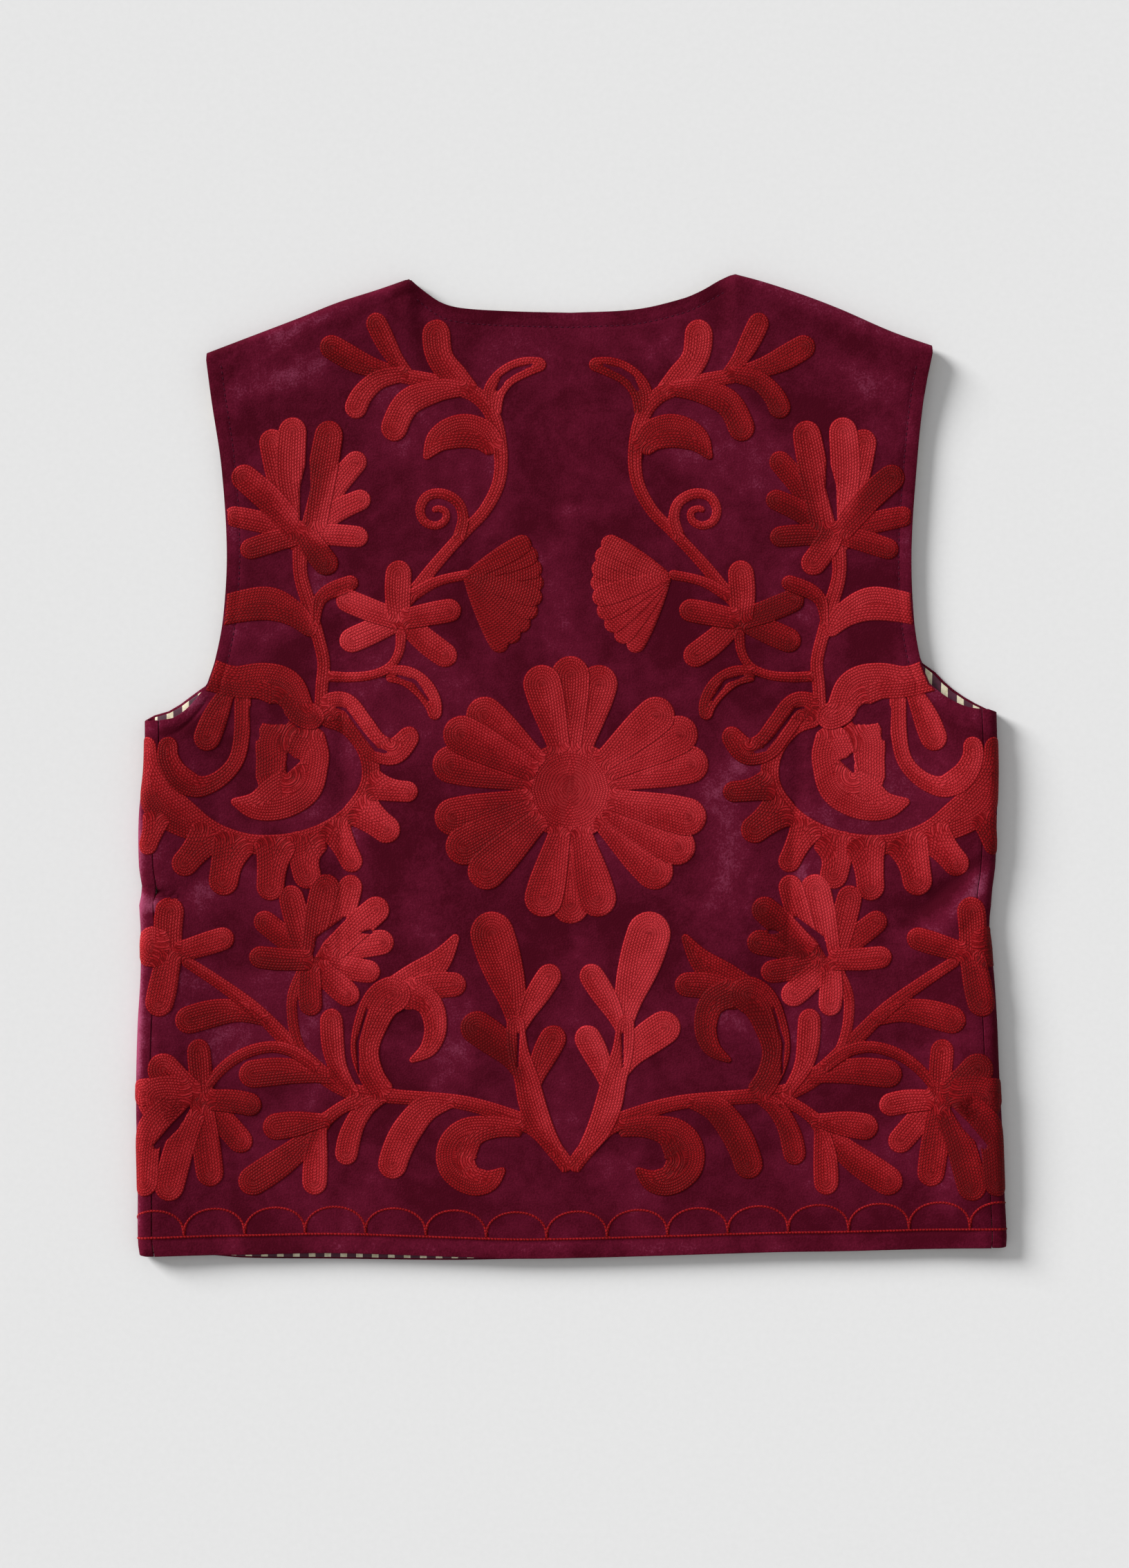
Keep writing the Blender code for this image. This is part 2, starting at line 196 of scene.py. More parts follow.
# Finer creases, only in the worn velvet.
CREASES = [
    Fold("left dart line", -133.5, 262, 104, 2.2, 0.5, -0.55),
    Fold("right dart line", 129, 244, 100, 2.2, 3, -0.5),
    Fold("right drag line", 219, 213, 26, 3.4, 50, -1.1),
    Fold("right drag second", 226, 186, 18, 3.2, 44, -0.6),
    Fold("left pinch line", -241, 209.5, 15, 2.4, 105, -2.6),
    Fold("left pinch ridge", -241, 202.5, 11, 2.6, 118, 1.3),
    Fold("left shoulder line", -97, 556, 2.2, 14, -20, -0.5),
    Fold("left chest ripple", -176, 500, 16, 5, 62, 0.5),
    Fold("right chest ripple", 160, 508, 18, 5, -58, 0.45),
    Fold("centre ripple", 6, 452, 48, 7, 8, 0.4),
    Fold("hem ripple left", -170, 58, 26, 6, 24, 0.35),
    Fold("hem ripple right", 148, 70, 30, 6, -18, 0.35),
]

# Where the velvet is lighter or darker: same columns, with the strength as the rise. Some patches are
# brushed nap; those marked below are painted light and shade.
NAP_AND_PAINTED_LIGHT = [
    Fold("left shoulder", -182, 503, 22, 10, 66, 0.7),
    Fold("left shoulder low", -150, 512, 20, 9, 70, 0.6),
    Fold("right shoulder", 165, 510, 28, 10, -66, 0.8),
    Fold("right chest", 176, 470, 30, 10, -10, 0.35),
    Fold("left side", -213, 205, 18, 10, 40, 0.6),
    Fold("left side low", -216, 158, 12, 9, 60, 0.5),
    Fold("right side", 214, 228, 26, 9, -52, 0.6),
    Fold("waist left", -86, 222, 26, 12, 14, 0.55),
    Fold("waist right", 84, 230, 26, 16, -20, 0.3),
    Fold("skirt left", -64, 106, 18, 10, 76, 0.5),
    Fold("skirt right", 60, 112, 20, 10, -70, 0.4),
    Fold("centre chest", -4, 400, 44, 12, 4, 0.4),
    Fold("neck", 8, 524, 14, 60, 0, 0.3),
    Fold("hem left", -196, 50, 20, 12, 50, 0.35),
    Fold("hem right", 190, 56, 20, 12, -50, 0.35),
    # Painted highlights on the dart walls that face the light.
    Fold("left dart side", -128, 236, 60, 3.5, 0, 0.4),
    Fold("right dart side", 134, 236, 60, 3.5, 3, 0.4),
    Fold("left underarm", -228, 315, 26, 5, 59, 0.7),
    # Painted shade in the underarm and armhole seams.
    Fold("left underarm seam", -231, 304, 13, 1.3, 76, -1.3),
    Fold("left armhole seam", -211, 313.5, 13, 1.3, 44, -1.3),
    Fold("right underarm", 226, 317, 24, 5, -62, 0.5),
    # Painted sheen along the shoulder rolls.
    Fold("left shoulder edge", -152, 540, 50, 4, 67, 0.6),
    Fold("right shoulder edge", 160, 543, 44, 5, -68, 0.7),
    # Painted highlights and painted shade on the pinch and the right drag creases.
    Fold("left pinch light", -243, 202, 12, 3.5, 115, 1.1),
    Fold("left pinch dark", -240, 210, 12, 1.8, 105, -1.0),
    Fold("right drag dark", 222, 215, 26, 3.2, 46, -1.0),
    Fold("right drag light", 229, 206, 26, 4.5, 46, 0.9),
    Fold("hem strip", 0, 4, 3.5, 260, 0, 0.3),
    # Painted sheen on the left side roll, which faces the light, and painted shade on the right one.
    Fold("left side roll", -252.5, 165, 170, 3.6, 0, 1.5),
    Fold("right side roll", 251, 150, 170, 6, 0, -0.5),
    Fold("armhole left", -196, 420, 70, 5, 0, 0.4),
    Fold("armhole right", 194, 420, 70, 5, 0, 0.4),
]

# Grids of the cloth pieces
PITCH = 3.2  # spacing of the back's grid
FRONT_PITCH = 6.0
STITCH_INSET = 7.5  # topstitching inside the armhole edge
NECK_STITCH_INSET = 8.5
UNDER_STITCH_INSET = 9.5  # the same under the arm, measured straight down
HEM_LINE_INSET = 9.7  # the hem's chain line above the hem edge
GROOVE_DEPTH = 0.4
GROOVE_WIDTH = 1.1
GROOVE_OFFSETS = (-2.4, -1.2, -0.5, 0.5, 1.2, 2.4)  # grid lines that carry a groove
LINE_CLEAR = 0.5  # a plain grid line this near to one of those is left out
UNDER_GROOVE = 1.5  # the groove under the arm is this much deeper and wider
HEM_GROOVE = HEM_LINE_INSET - 1.5
HEM_EDGE_LINE = 1.0
# Where each groove fades: how far short of the corner, and over what distance.
ARMHOLE_FADE, UNDER_FADE, NECK_FADE = (12, 10), (4, 6), (4, 6)
FOLD_STEPS = 14
LIP_STEPS = [1.33, 1.67, 2.0]  # past the fold's end at 1, up to the seam at 2
ROLL_STEPS = 6

# Topstitching: gap between stitches as a share of one, half width and height, and rise.
STITCH_REPEAT = 1.35
STITCH_HALF_WIDTH, STITCH_HALF_HEIGHT, STITCH_RISE = 0.32, 0.25, 0.1
STITCH_STEP = 0.5  # between the points of a line that is to be stitched
STITCH_ENDS = (4, 8)  # the armholes' line begins below the turn, and ends below the tip
STRIPE_START = 4.8  # a cream stripe begins this far to the left of the centre back
CREAM_SHARE = 0.42
YARN = 0.45  # between the lining's yarns

# Embroidery
ROW_WIDTH = 1.6  # of one row of chain stitch
STITCH_LENGTH = 1.9
PAD_PITCH = 1.6
SLIT_PITCH = 0.75  # where a slit has to be cut cleanly
ROOT_ROUNDING = 0.5  # a root that runs into another shape is this blunt
PAD_EDGE = 1.0  # over which a pad rises from the velvet
PAD_ROOT = 0.3  # how far a pad's edge is sunk into the pile
PAD_BACKING = 0.3
CROWN, CROWN_REACH = 0.15, 4.0  # a wide pad's middle stands a little higher
SINK, SINK_REACH = 1.4, 0.6  # slope below the pile outside a pad's edge, and how far it goes
CAP_STEPS = 5
EDGE_CROWDING = 1.5  # grid lines crowd towards a pad's edges
TIGHTEST = 0.85  # a pad reaches this share of the way to the centre of its spine's bend
DROP_WIDTHS = (0.44, 0.62, 0.84, 0.98, 1.0, 0.92)  # of a petal from its root to its tip
PETAL_WIDTHS = (0.86, 0.92, 0.98, 1.02, 1.0, 0.92)
FRINGE_WIDTHS = (1.6, 1.35, 1.12, 1.0, 0.97, 0.9)
# The embroidery's centre line, which drifts to the left towards the neck.
Axis = namedtuple("Axis", "height across")
AXIS = [Axis(0, -0.6), Axis(380, -0.8), Axis(440, -1.9), Axis(560, -2.4)]
FAN_ASIDE = -1.6  # the right fan lies this much nearer to the centre line again
TONE_BLEND = 2.0  # over which the tones of shapes that meet run into each other
NEIGHBOUR_REACH = 3.0  # shapes further away than this are left out of the blend
LIT_FROM = (0.77, 0.64)  # stitches on this side of a shape catch the light
SHAPE_TONE, FACING_TONE = 0.85, 0.34
SIDE_TONE = 0.4  # the left side fold is lit, and the right one is in shade
SIDE_TONE_REACH, SIDE_TONE_LIMIT = 8.0, 1.2
LIFT_STEP = 0.03  # keeps pads that cross from sharing one surface
ARMHOLE_MARGIN = 0.7  # pads are cut off this far inside the armhole edge
ARM_REACH = 185.0  # nearer to the centre back than this, a pad can't meet the armhole
ARMHOLE_POINTS = 60
UNDERARM_POINTS = 15
PAST_SEAM = 4.0
TUCK, TUCK_LIMIT = 0.4, 1.3  # how steeply the rest of a cut-off pad is turned under
TUCK_WAY, TUCK_SPREAD = (0.9, 0.45), 0.15
LAST_TURN = 1.9  # how far round a side fold the embroidery reaches, as an angle
PAST_TURN = 0.08  # and the share of any further turn that it still makes

# A shape's tone runs from -1, thread lying away from the light, to 1; a pair gives the left
# side's and the right's. Rows of stitches follow its sides, or curve round its apex.
Shape = namedtuple("Shape", "tone widths spine round_root apex", defaults=[False, None])
# A slit is a place inside the shapes where the velvet shows, round-ended and tapering.
Slit = namedtuple("Slit", "x0 h0 x1 h1 w0 w1")


def drop(tone, width, *spine):
    """A petal or leaf, narrow at its root and round at its tip."""
    return Shape(tone, tuple(width * share for share in DROP_WIDTHS), spine)


def petal(tone, width, *spine):
    """A petal that stays broad down to the flower's middle."""
    return Shape(tone, tuple(width * share for share in PETAL_WIDTHS), spine)


def fringe(tone, width, *spine):
    """A short lobe that grows out of a strap's edge."""
    return Shape(tone, tuple(width * share for share in FRINGE_WIDTHS), spine)


def band(tone, widths, *spine):
    """A stem whose width follows the list, and whose root runs into another shape."""
    return Shape(tone, widths, spine)


def strap(tone, widths, *spine):
    """A band that is round at both ends."""
    return Shape(tone, widths, spine, True)


BASE_SCROLLS = [
    band((0, -0.2), (10, 11, 10, 9, 9, 10, 11, 10, 9, 8, 7), (-0.6, 48), (-9, 59), (-21, 72),
         (-38, 80), (-65, 87.5), (-105, 91), (-128, 94), (-145, 104), (-164, 122), (-184, 141.5),
         (-205, 157), (-226, 171)),
    band((-0.1, -0.7), (10, 12, 16, 23, 24, 19, 14, 3), (-28, 72), (-45, 73), (-58, 70), (-66, 61),
         (-66, 50), (-58, 42), (-48, 42), (-38.5, 49)),
    band((0.3, -0.8), (6, 14, 17, 18, 17.5, 17), (-68, 88), (-84, 84), (-95, 72), (-102, 58),
         (-106, 43)),
    band((0.2, -0.5), (6, 11, 12.5, 14, 13), (-108, 91), (-120, 84), (-128, 70), (-132, 51)),
    band((0.2, 0.6), (8, 14, 16, 14, 12, 10), (-7, 57), (-16, 70), (-22, 84), (-26, 100),
         (-31, 118), (-33, 138)),
    drop((-0.1, 0.9), 26, (-31, 132), (-35, 150), (-42, 172), (-50, 198)),
    drop((0.5, 0.7), 15, (-31, 128), (-24, 143), (-9, 167)),
    drop((-0.9, 0.8), 20, (-26, 100), (-38, 118), (-63, 136.5)),
    drop((-0.1, 0.8), 16, (-23, 94), (-17, 112), (-7, 131.5)),
    band((0, -0.8), (14, 15, 17, 20, 22, 20), (-108, 91), (-116, 103), (-120, 117), (-117, 132),
         (-109, 147), (-94, 154)),
    band((0.5, -0.6), (24, 21, 14, 4), (-104, 147), (-90, 158.5), (-76, 170.5), (-66, 185)),
    band((0.2, -0.7), (16, 16, 15.5, 14), (-98, 150), (-80, 155), (-61, 156)),
    band((0.4, -0.8), (18, 16, 14, 11, 3), (-98, 153), (-83, 145), (-79, 131), (-83, 119),
         (-94, 111)),
    band((-0.1, 0), (9, 8, 9), (-121, 90), (-134, 84), (-146, 75)),
    drop((-0.5, 0), 16, (-140, 77.5), (-160, 75), (-179.5, 72)),
    drop((-0.5, -0.2), 18, (-142, 77), (-163, 57), (-192.5, 37)),
    drop((0.3, 0.1), 15, (-145, 80), (-148.5, 56), (-149.5, 33.5)),
    drop((-0.5, -0.4), 17, (-136, 102), (-165, 105.5), (-193.5, 103)),
    drop((0.2, 0.3), 14, (-126, 92), (-137, 112), (-140, 142)),
    band((-0.2, -0.3), (7, 7.5, 7.5, 7.5, 7, 6.5), (-147, 107), (-160, 116), (-172, 119.5),
         (-184, 118), (-196, 112.5), (-206, 104), (-213, 95)),
    drop((-0.4, -0.3), 17, (-176, 135), (-198, 140.5), (-230, 133.5)),
]
BASE_SLITS = [
    Slit(-31.2, 108, -30.8, 127, 0.6, 1.3),
    Slit(-123.6, 104, -124.4, 122, 0.7, 1.4),
    Slit(-124.4, 122, -118.6, 142, 1.4, 0.8),
]

SIDE_FLOWERS = [
    petal((-0.3, -0.2), 14, (-214, 88), (-215.5, 106), (-217, 124.5)),
    petal((-0.1, -0.9), 19, (-218, 90), (-231, 101), (-243, 114)),
    petal((0, -0.8), 16, (-228, 92), (-244, 94), (-257, 92)),
    petal((-0.1, -0.8), 26, (-220, 90), (-236, 90), (-251, 84)),
    petal((-0.8, 0.3), 14, (-212, 89), (-196, 88), (-180, 84.5)),
    petal((-0.3, 0.2), 15, (-211, 88), (-200, 74), (-187.5, 59.5)),
    petal((-0.2, -0.3), 16.5, (-215, 86), (-212, 62), (-209, 38.5)),
    petal((0.1, -0.8), 17.5, (-219, 84), (-228, 60), (-235.5, 30.5)),
    petal((-0.1, -0.9), 17, (-228, 90), (-245, 70), (-249, 33)),
    strap((-0.2, -0.4), (18, 20, 18), (-222, 91), (-214, 89), (-206, 87)),
    petal((0, -0.1), 17, (-233, 172), (-234, 190), (-232, 207)),
    petal((0.1, -0.3), 14, (-230, 174), (-214, 179), (-196, 184.5)),
    petal((-0.1, -0.6), 17, (-233, 176), (-237, 155), (-241, 137.5)),
    petal((0.1, -0.6), 24, (-234, 175), (-244, 178), (-254, 181)),
    strap((0, -0.2), (15, 16, 14), (-239, 176), (-233, 175), (-225, 171)),
]
SIDE_SLITS = [Slit(-221, 85.5, -230, 74, 1.0, 4.6), Slit(-230, 74, -240.5, 62.5, 4.6, 3.4)]

SLIT_FLOWERS = [
    strap((-0.3, -0.2), (24, 28, 26), (-156, 162), (-148, 171), (-140, 180)),
    petal((0, 0.2), 15, (-154, 172), (-159, 191), (-164.5, 213.5)),
    petal((-0.2, 0.9), 18, (-150, 172), (-146, 196), (-141, 220)),
    petal((0.5, 0.3), 14.5, (-140, 176), (-133, 197), (-126.5, 219.5)),
    petal((0.6, -0.8), 16, (-140, 174), (-124, 190), (-107.5, 204.5)),
    petal((0.8, -0.9), 15, (-142, 173), (-122, 178.5), (-103, 181.5)),
    petal((0.6, -0.5), 14, (-146, 170), (-128, 165), (-111, 162.5)),
    petal((0.3, 0.6), 15, (-149, 167), (-137, 156), (-124.5, 145.5)),
    petal((-0.5, 0.9), 14, (-152, 168), (-152, 152), (-151, 137.5)),
    petal((-0.7, 0.2), 13.5, (-150, 170), (-169, 170.5), (-187.5, 172.5)),
    petal((-0.4, -0.1), 14, (-152, 171), (-166, 182.5), (-183.5, 196.5)),
    band((-0.3, 0.3), (6, 7, 7, 7), (-156, 166), (-162, 150), (-162, 135), (-159, 122),
         (-153, 110)),
    # The upper flower
    petal((0.3, 0.5), 16, (-159, 418), (-168, 446), (-175.5, 478.5)),
    petal((0.5, 0.7), 17, (-158, 420), (-163, 452), (-161.5, 485.5)),
    petal((-0.3, 0), 17, (-150, 420), (-145, 452), (-139.5, 483.5)),
    petal((0.8, -0.5), 14, (-152, 418), (-138, 444), (-121, 464.5)),
    petal((0.9, -0.8), 13, (-154, 417), (-136, 431), (-117, 440)),
    petal((0.8, -0.8), 13, (-156, 417), (-137, 417), (-118, 415.5)),
    petal((-0.8, 0), 15, (-157, 422), (-150, 410), (-138, 395)),
    petal((0, -0.8), 16, (-157, 417), (-176, 438), (-196, 455.5)),
    petal((0.2, -0.4), 13, (-156, 417), (-178, 424), (-202, 429)),
    petal((-0.4, -0.4), 13, (-155, 418), (-174, 413), (-192.5, 407)),
    strap((0, 0.4), (14, 19, 17), (-157, 406), (-157, 416), (-156, 426)),
]
SLIT_FLOWER_SLITS = [
    Slit(-149.5, 173, -146, 182, 1.8, 4.6),
    Slit(-146, 182, -131.5, 194.5, 4.6, 1.5),
    Slit(-157, 426, -154.6, 445, 1.5, 6),
    Slit(-154.6, 445, -153, 461, 6, 1.5),
    Slit(-122, 186, -117, 186.5, 0.5, 2.5),
]

CRESCENTS = [
    strap((-0.2, 0), (12, 15, 24, 22, 15, 12, 12, 12, 12, 11, 11, 11, 11, 12), (-247, 300),
          (-246, 281), (-238, 263), (-223, 251), (-203, 241.5), (-181, 237), (-158, 239),
          (-138, 247), (-125, 259), (-117.5, 272), (-117, 285), (-122, 297), (-132, 307),
          (-146, 312)),
    fringe((0, -0.3), 12, (-240, 256), (-243, 245), (-248, 231.5)),
    fringe((-0.3, 0.3), 16, (-208, 246), (-218, 234), (-229.5, 220.5)),
    fringe((-0.3, 0.2), 18, (-194, 243), (-200, 227), (-203.5, 207.5)),
    fringe((-0.1, 0.3), 17, (-171, 242), (-174, 224), (-175.5, 204.5)),
    fringe((0.1, 0.3), 17, (-151, 244), (-155, 231), (-154, 221), (-150, 212)),
    fringe((0.5, 0), 14, (-140, 251), (-132.5, 237), (-125, 221.5)),
    fringe((0.6, -0.6), 17, (-126, 261), (-114, 251), (-101, 241)),
    fringe((0.5, -0.8), 13, (-119, 273), (-105, 269), (-89, 267.5)),
    band((0.4, -0.3), (16, 17, 17, 17, 15, 11), (-146, 316), (-133, 317.5), (-123, 306),
         (-114, 294.5), (-103, 291.5), (-90.5, 304.5)),
    band((-0.3, 0.5), (22, 28, 27, 26, 18), (-164, 309), (-169, 299), (-170, 285), (-171, 272),
         (-176, 262)),
    band((0.1, 0.6), (14, 24, 26, 27, 25, 16, 3), (-151, 306), (-152.5, 296), (-154, 284),
         (-158, 272), (-170, 264.5), (-184, 260), (-198, 262.5)),
    band((-0.3, 0.5), (10, 10, 9.5, 9.5, 11, 15, 13, 11), (-191, 324), (-191.5, 302), (-195, 286),
         (-205, 275), (-217, 271), (-228, 277), (-234, 288), (-233.5, 300)),
    drop((-0.5, 0.4), 16, (-196, 333), (-205, 316), (-214.5, 292)),
    band((-0.5, 0.5), (20, 18, 21, 24, 18, 13), (-214, 337), (-196, 332), (-179, 332), (-166, 327),
         (-156, 314), (-144, 309)),
]
CRESCENT_SLITS = [
    Slit(-136.5, 316.8, -131.5, 315.8, 0.8, 1.5),
    Slit(-131.5, 315.8, -119, 299, 1.5, 1.7),
    Slit(-119, 299, -113.5, 292.5, 1.7, 2.3),
    Slit(-113.5, 292.5, -106, 290.5, 2.3, 0.8),
    Slit(-162.5, 285, -158, 286, 6.4, 1),
    Slit(-163, 286, -164.6, 290, 5, 1),
    Slit(-163, 284, -165, 279.5, 5, 1),
    Slit(-184.5, 316, -184, 300, 5, 5),
    Slit(-182, 313, -173, 313, 9, 12),
    Slit(-173, 313, -167, 309.5, 12, 5),
]

CHEST_SCROLLS = [
    band((0.1, 0.3), (8, 8, 8, 8, 9, 9, 11), (-146, 312), (-145, 330), (-144, 343), (-147, 357),
         (-152, 375), (-157.5, 395), (-157, 416)),
    band((-0.5, 0.6), (17, 19, 20, 15, 8), (-207, 372), (-190, 376), (-175, 377), (-161, 371),
         (-149, 359)),
    drop((-0.3, -0.5), 10, (-149, 364), (-145, 381), (-124, 391)),
    petal((0.4, 0.2), 15.5, (-100, 366), (-101, 382), (-100, 402.5)),
    petal((0.1, -0.3), 14, (-99, 368), (-83, 371), (-64, 374.5)),
    petal((0.3, -0.1), 15, (-99, 369), (-84, 355), (-67.5, 343)),
    petal((0.8, -0.6), 15, (-98, 369), (-116, 361), (-134.5, 353)),
    petal((0.8, -0.9), 14, (-98, 367), (-118, 374), (-136.5, 381.5)),
    band((0.3, -0.3), (7, 6.5, 6, 6, 7), (-142, 335), (-128, 334.5), (-115, 336), (-105, 341),
         (-100, 350), (-99, 362)),
    band((0.4, -0.4), (9, 12, 13, 11, 7), (-108, 336.5), (-96, 335), (-86.5, 328.5), (-80.5, 319),
         (-79, 309.5)),
    band((0.2, 0), (8, 8, 7.5, 7.5, 8, 8.5, 9, 10, 11, 10, 9), (-97, 377), (-83, 395), (-72, 408),
         (-61, 420), (-50, 432), (-42, 449), (-41.5, 470), (-47, 489), (-58, 500), (-80, 506),
         (-106, 511)),
    band((0, 0.2), (8, 7.5, 7, 7, 6.8, 6.5, 6, 5.5, 5, 4), (-66, 414), (-63, 427), (-66, 436),
         (-75, 441), (-84, 439.5), (-88, 432), (-85.5, 425), (-79, 422.5), (-73.5, 425.5),
         (-73, 430.5), (-77.5, 432.5), (-81, 431)),
    band((-0.1, -0.5), (12, 19, 20, 15, 3), (-43, 466), (-52, 475), (-64, 477.5), (-77, 472.5),
         (-85.5, 461)),
    band((0, -0.2), (8, 6.5, 6.5), (-94, 381), (-78, 390), (-58, 394.5)),
]
CHEST_SLITS = [Slit(-101, 335.2, -91, 332, 1.2, 2.2), Slit(-91, 332, -83, 321, 2.2, 1)]

TOP_SPRAYS = [
    drop((-0.5, -0.5), 15, (-98, 511), (-120, 516), (-145.5, 529.5)),
    drop((-0.2, -0.1), 13, (-93, 509), (-104, 522), (-116, 545.5)),
    band((0, 0.4), (8, 16, 16, 17, 16), (-56, 500), (-68, 509), (-77, 522), (-79, 542.5)),
    band((0.3, -0.7), (9, 11, 13, 14), (-95, 511), (-112, 507), (-122, 498), (-127.5, 485)),
    band((0.2, -0.5), (8, 13, 16, 16, 16), (-60, 502), (-78, 501), (-96, 493), (-106, 472)),
    band((0.4, -0.5), (10, 13, 13, 12, 7), (-46, 486), (-45, 500), (-38.5, 509), (-28, 514.5),
         (-14.5, 517)),
]
TOP_SLITS = [
    Slit(-43, 501.5, -39.5, 508, 1.4, 3.4),
    Slit(-39.5, 508, -33, 512.5, 3.4, 3),
    Slit(-33, 512.5, -23, 516.3, 3, 0.8),
]

# Petal lobes of the central flower: direction from the middle, reach of the tip, tone.
Lobe = namedtuple("Lobe", "turn reach tone")
CENTRE_X, CENTRE_HEIGHT = -0.6, 269.0
CENTRE_LOBES = [
    Lobe(75, 75, 0.2), Lobe(90, 78, 0.1), Lobe(105, 75, 0.1),
    Lobe(139, 77, -0.1), Lobe(153, 82, -0.2), Lobe(168, 82, -0.3),
    Lobe(193, 81, -0.4), Lobe(208, 81, -0.4), Lobe(224, 79, -0.3),
    Lobe(256, 76, 0.1), Lobe(270, 78, 0.2), Lobe(284, 76, 0.2),
    Lobe(316, 79, 0.4), Lobe(332, 81, 0.5), Lobe(347, 81, 0.5),
    Lobe(12, 82, 0.5), Lobe(27, 82, 0.5), Lobe(41, 77, 0.4),
]
LOBE_WIDTHS = (12, 15, 18.5, 21.5, 22.5, 22)
LOBE_ROOT = 22.0
DISC_RADIUS = 29.0
DISC_TONE = 0.35

# The fan: its scallops open round an apex on the stem.
FAN_APEX = (-61.0, 393.0)
FAN_TURNS = (-64, 30)
FAN_LOBES = 9
FAN_REACH = (49, 43)
FAN_WIDTHS = (5, 9, 11.5, 12.4, 11)
FAN_TONES = (-0.4, 0.3)

SCALLOPS = 15
FIRST_VALLEY = -260.2
SCALLOP_PERIOD = 35.1
SCALLOP_RISE = 15.2
SCALLOP_THREAD = 2.1
SCALLOP_LIFT = 0.6
SCALLOP_POWER = 0.8  # under 1 makes a scallop fuller at its sides
SCALLOP_STEPS = 9
HEM_LINE_END, HEM_LINE_STEP = 256, 16.0
HEM_TONE = -0.5


def smooth(keys, values, at):
    """Values at places on a smooth curve through the keys."""
    keys, values = np.asarray(keys, float), np.asarray(values, float)
    at = np.clip(at, keys[0], keys[-1])
    last = len(keys) - 1
    span = np.clip(np.searchsorted(keys, at, side="left") - 1, 0, last - 1)
    low = np.maximum(np.arange(last + 1) - 1, 0)
    high = np.minimum(np.arange(last + 1) + 1, last)
    slopes = (values[high] - values[low]) / (keys[high] - keys[low])
    width = keys[span + 1] - keys[span]
    t = (at - keys[span]) / width
    start, end = values[span], values[span + 1]
    bend = (1 - t) * slopes[span] - t * slopes[span + 1]
    steady = (end - start) * (1 - 2 * t)
    return start + (end - start) * t + t * (1 - t) * (bend * width - steady)


def along(table, at, column):
    """A table's named column at places in its first column."""
    return smooth([row[0] for row in table], [getattr(row, column) for row in table], at)


def by_side(table, at, x, ending=""):
    """A table's left or right column, as each x is on the left or the right."""
    left = along(table, at, "left" + ending)
    right = along(table, at, "right" + ending)
    return np.where(np.asarray(x) < 0, left, right)


def fall(distance, reach):
    """1 at no distance, easing to 0 at the reach."""
    t = np.clip(distance / reach, 0, 1)
    return (1 - t) ** 2 * (1 + 2 * t)


def lerp(a, b, share):
    return a + (b - a) * share


def bell(distance, width):
    return np.exp(-((distance / width) ** 2))


def sign(side):
    return -1 if side == "left" else 1


def top_edge(x):
    """Height of the back's upper edge."""
    out = np.abs(x)
    return np.where(out < NECK_POINT, by_side(NECK, out, x), by_side(SHOULDER, out, x))


def shoulder_share(x):
    """1 over the shoulders, where the cloth rolls to the front, and 0 at the neck."""
    return 1 - fall(np.abs(x) - NECK_POINT + ROLL_START, ROLL_EASE)


def fold_rise(fold, x, height):
    lean = radians(fold.lean)
    dx, dy = x - fold.across, height - fold.height
    down = dx * np.sin(lean) + dy * np.cos(lean)
    over = dx * np.cos(lean) - dy * np.sin(lean)
    return fold.rise * bell(down, fold.half_length) * bell(over, fold.half_width)


def hem_height(x):
    return along(HEM, x, "back")


def under_height(x, out):
    """Height of the back's edge under the arm."""
    left, right = (
        smooth([getattr(row, side) for row in BACK_UNDERARM],
               [getattr(row, side + "_height") for row in BACK_UNDERARM], out)
        for side in SIDE_NAMES
    )
    return np.where(np.asarray(x) < 0, left, right)


def grooves(x, height):
    """Depth of the grooves that the topstitching and the hem line pull into the velvet."""
    out = np.abs(x)
    armhole = by_side(BACK_ARMHOLE, height, x) - out - STITCH_INSET
    above_turn = 1 - fall(height - TURN_HEIGHT + ARMHOLE_FADE[0], ARMHOLE_FADE[1])
    under = under_height(x, out) - height - UNDER_STITCH_INSET
    at_under = 1 - fall(out - ARMHOLE_OUT + UNDER_FADE[0], UNDER_FADE[1])
    neck = top_edge(x) - height - NECK_STITCH_INSET
    at_neck = fall(out - NECK_POINT + NECK_FADE[0], NECK_FADE[1])
    hem = height - hem_height(x) - HEM_GROOVE
    depth = bell(armhole, GROOVE_WIDTH) * above_turn + bell(neck, GROOVE_WIDTH) * at_neck
    depth = depth + UNDER_GROOVE * bell(under, UNDER_GROOVE * GROOVE_WIDTH) * at_under
    return GROOVE_DEPTH * (depth + bell(hem, GROOVE_WIDTH))


def creased(x, height):
    return sum(fold_rise(crease, x, height) for crease in CREASES)


def back_top(x, height):
    """Height of the back's upper face over the surface it lies on, before the shoulder roll."""
    out = np.abs(x)
    inside = by_side(SIDES, height, x) - SEAM_INSET - out
    edge = (by_side(SIDES, height, x, "_fold") - BACK_TOP) * fall(inside, EDGE_REACH)
    edge = edge * fall(height - EDGE_FADE[0], EDGE_FADE[1])
    below = np.maximum(top_edge(x) - SHOULDER_TOP / 2 - height, 0)
    shoulder = (SHOULDER_TOP - BACK_TOP) * fall(below, SHOULDER_REACH) * shoulder_share(x)
    hem = HEM_RISE * fall(height, HEM_REACH) * (1 - fall(inside, EDGE_REACH))
    free = (1 - fall(inside, SEAM_CALM)) * (1 - fall(below, ROLL_CALM) * shoulder_share(x))
    soft = sum(fold_rise(fold, x, height) for fold in FOLDS) - grooves(x, height)
    return BACK_TOP + np.hypot(edge, shoulder) + hem + soft * free + creased(x, height)


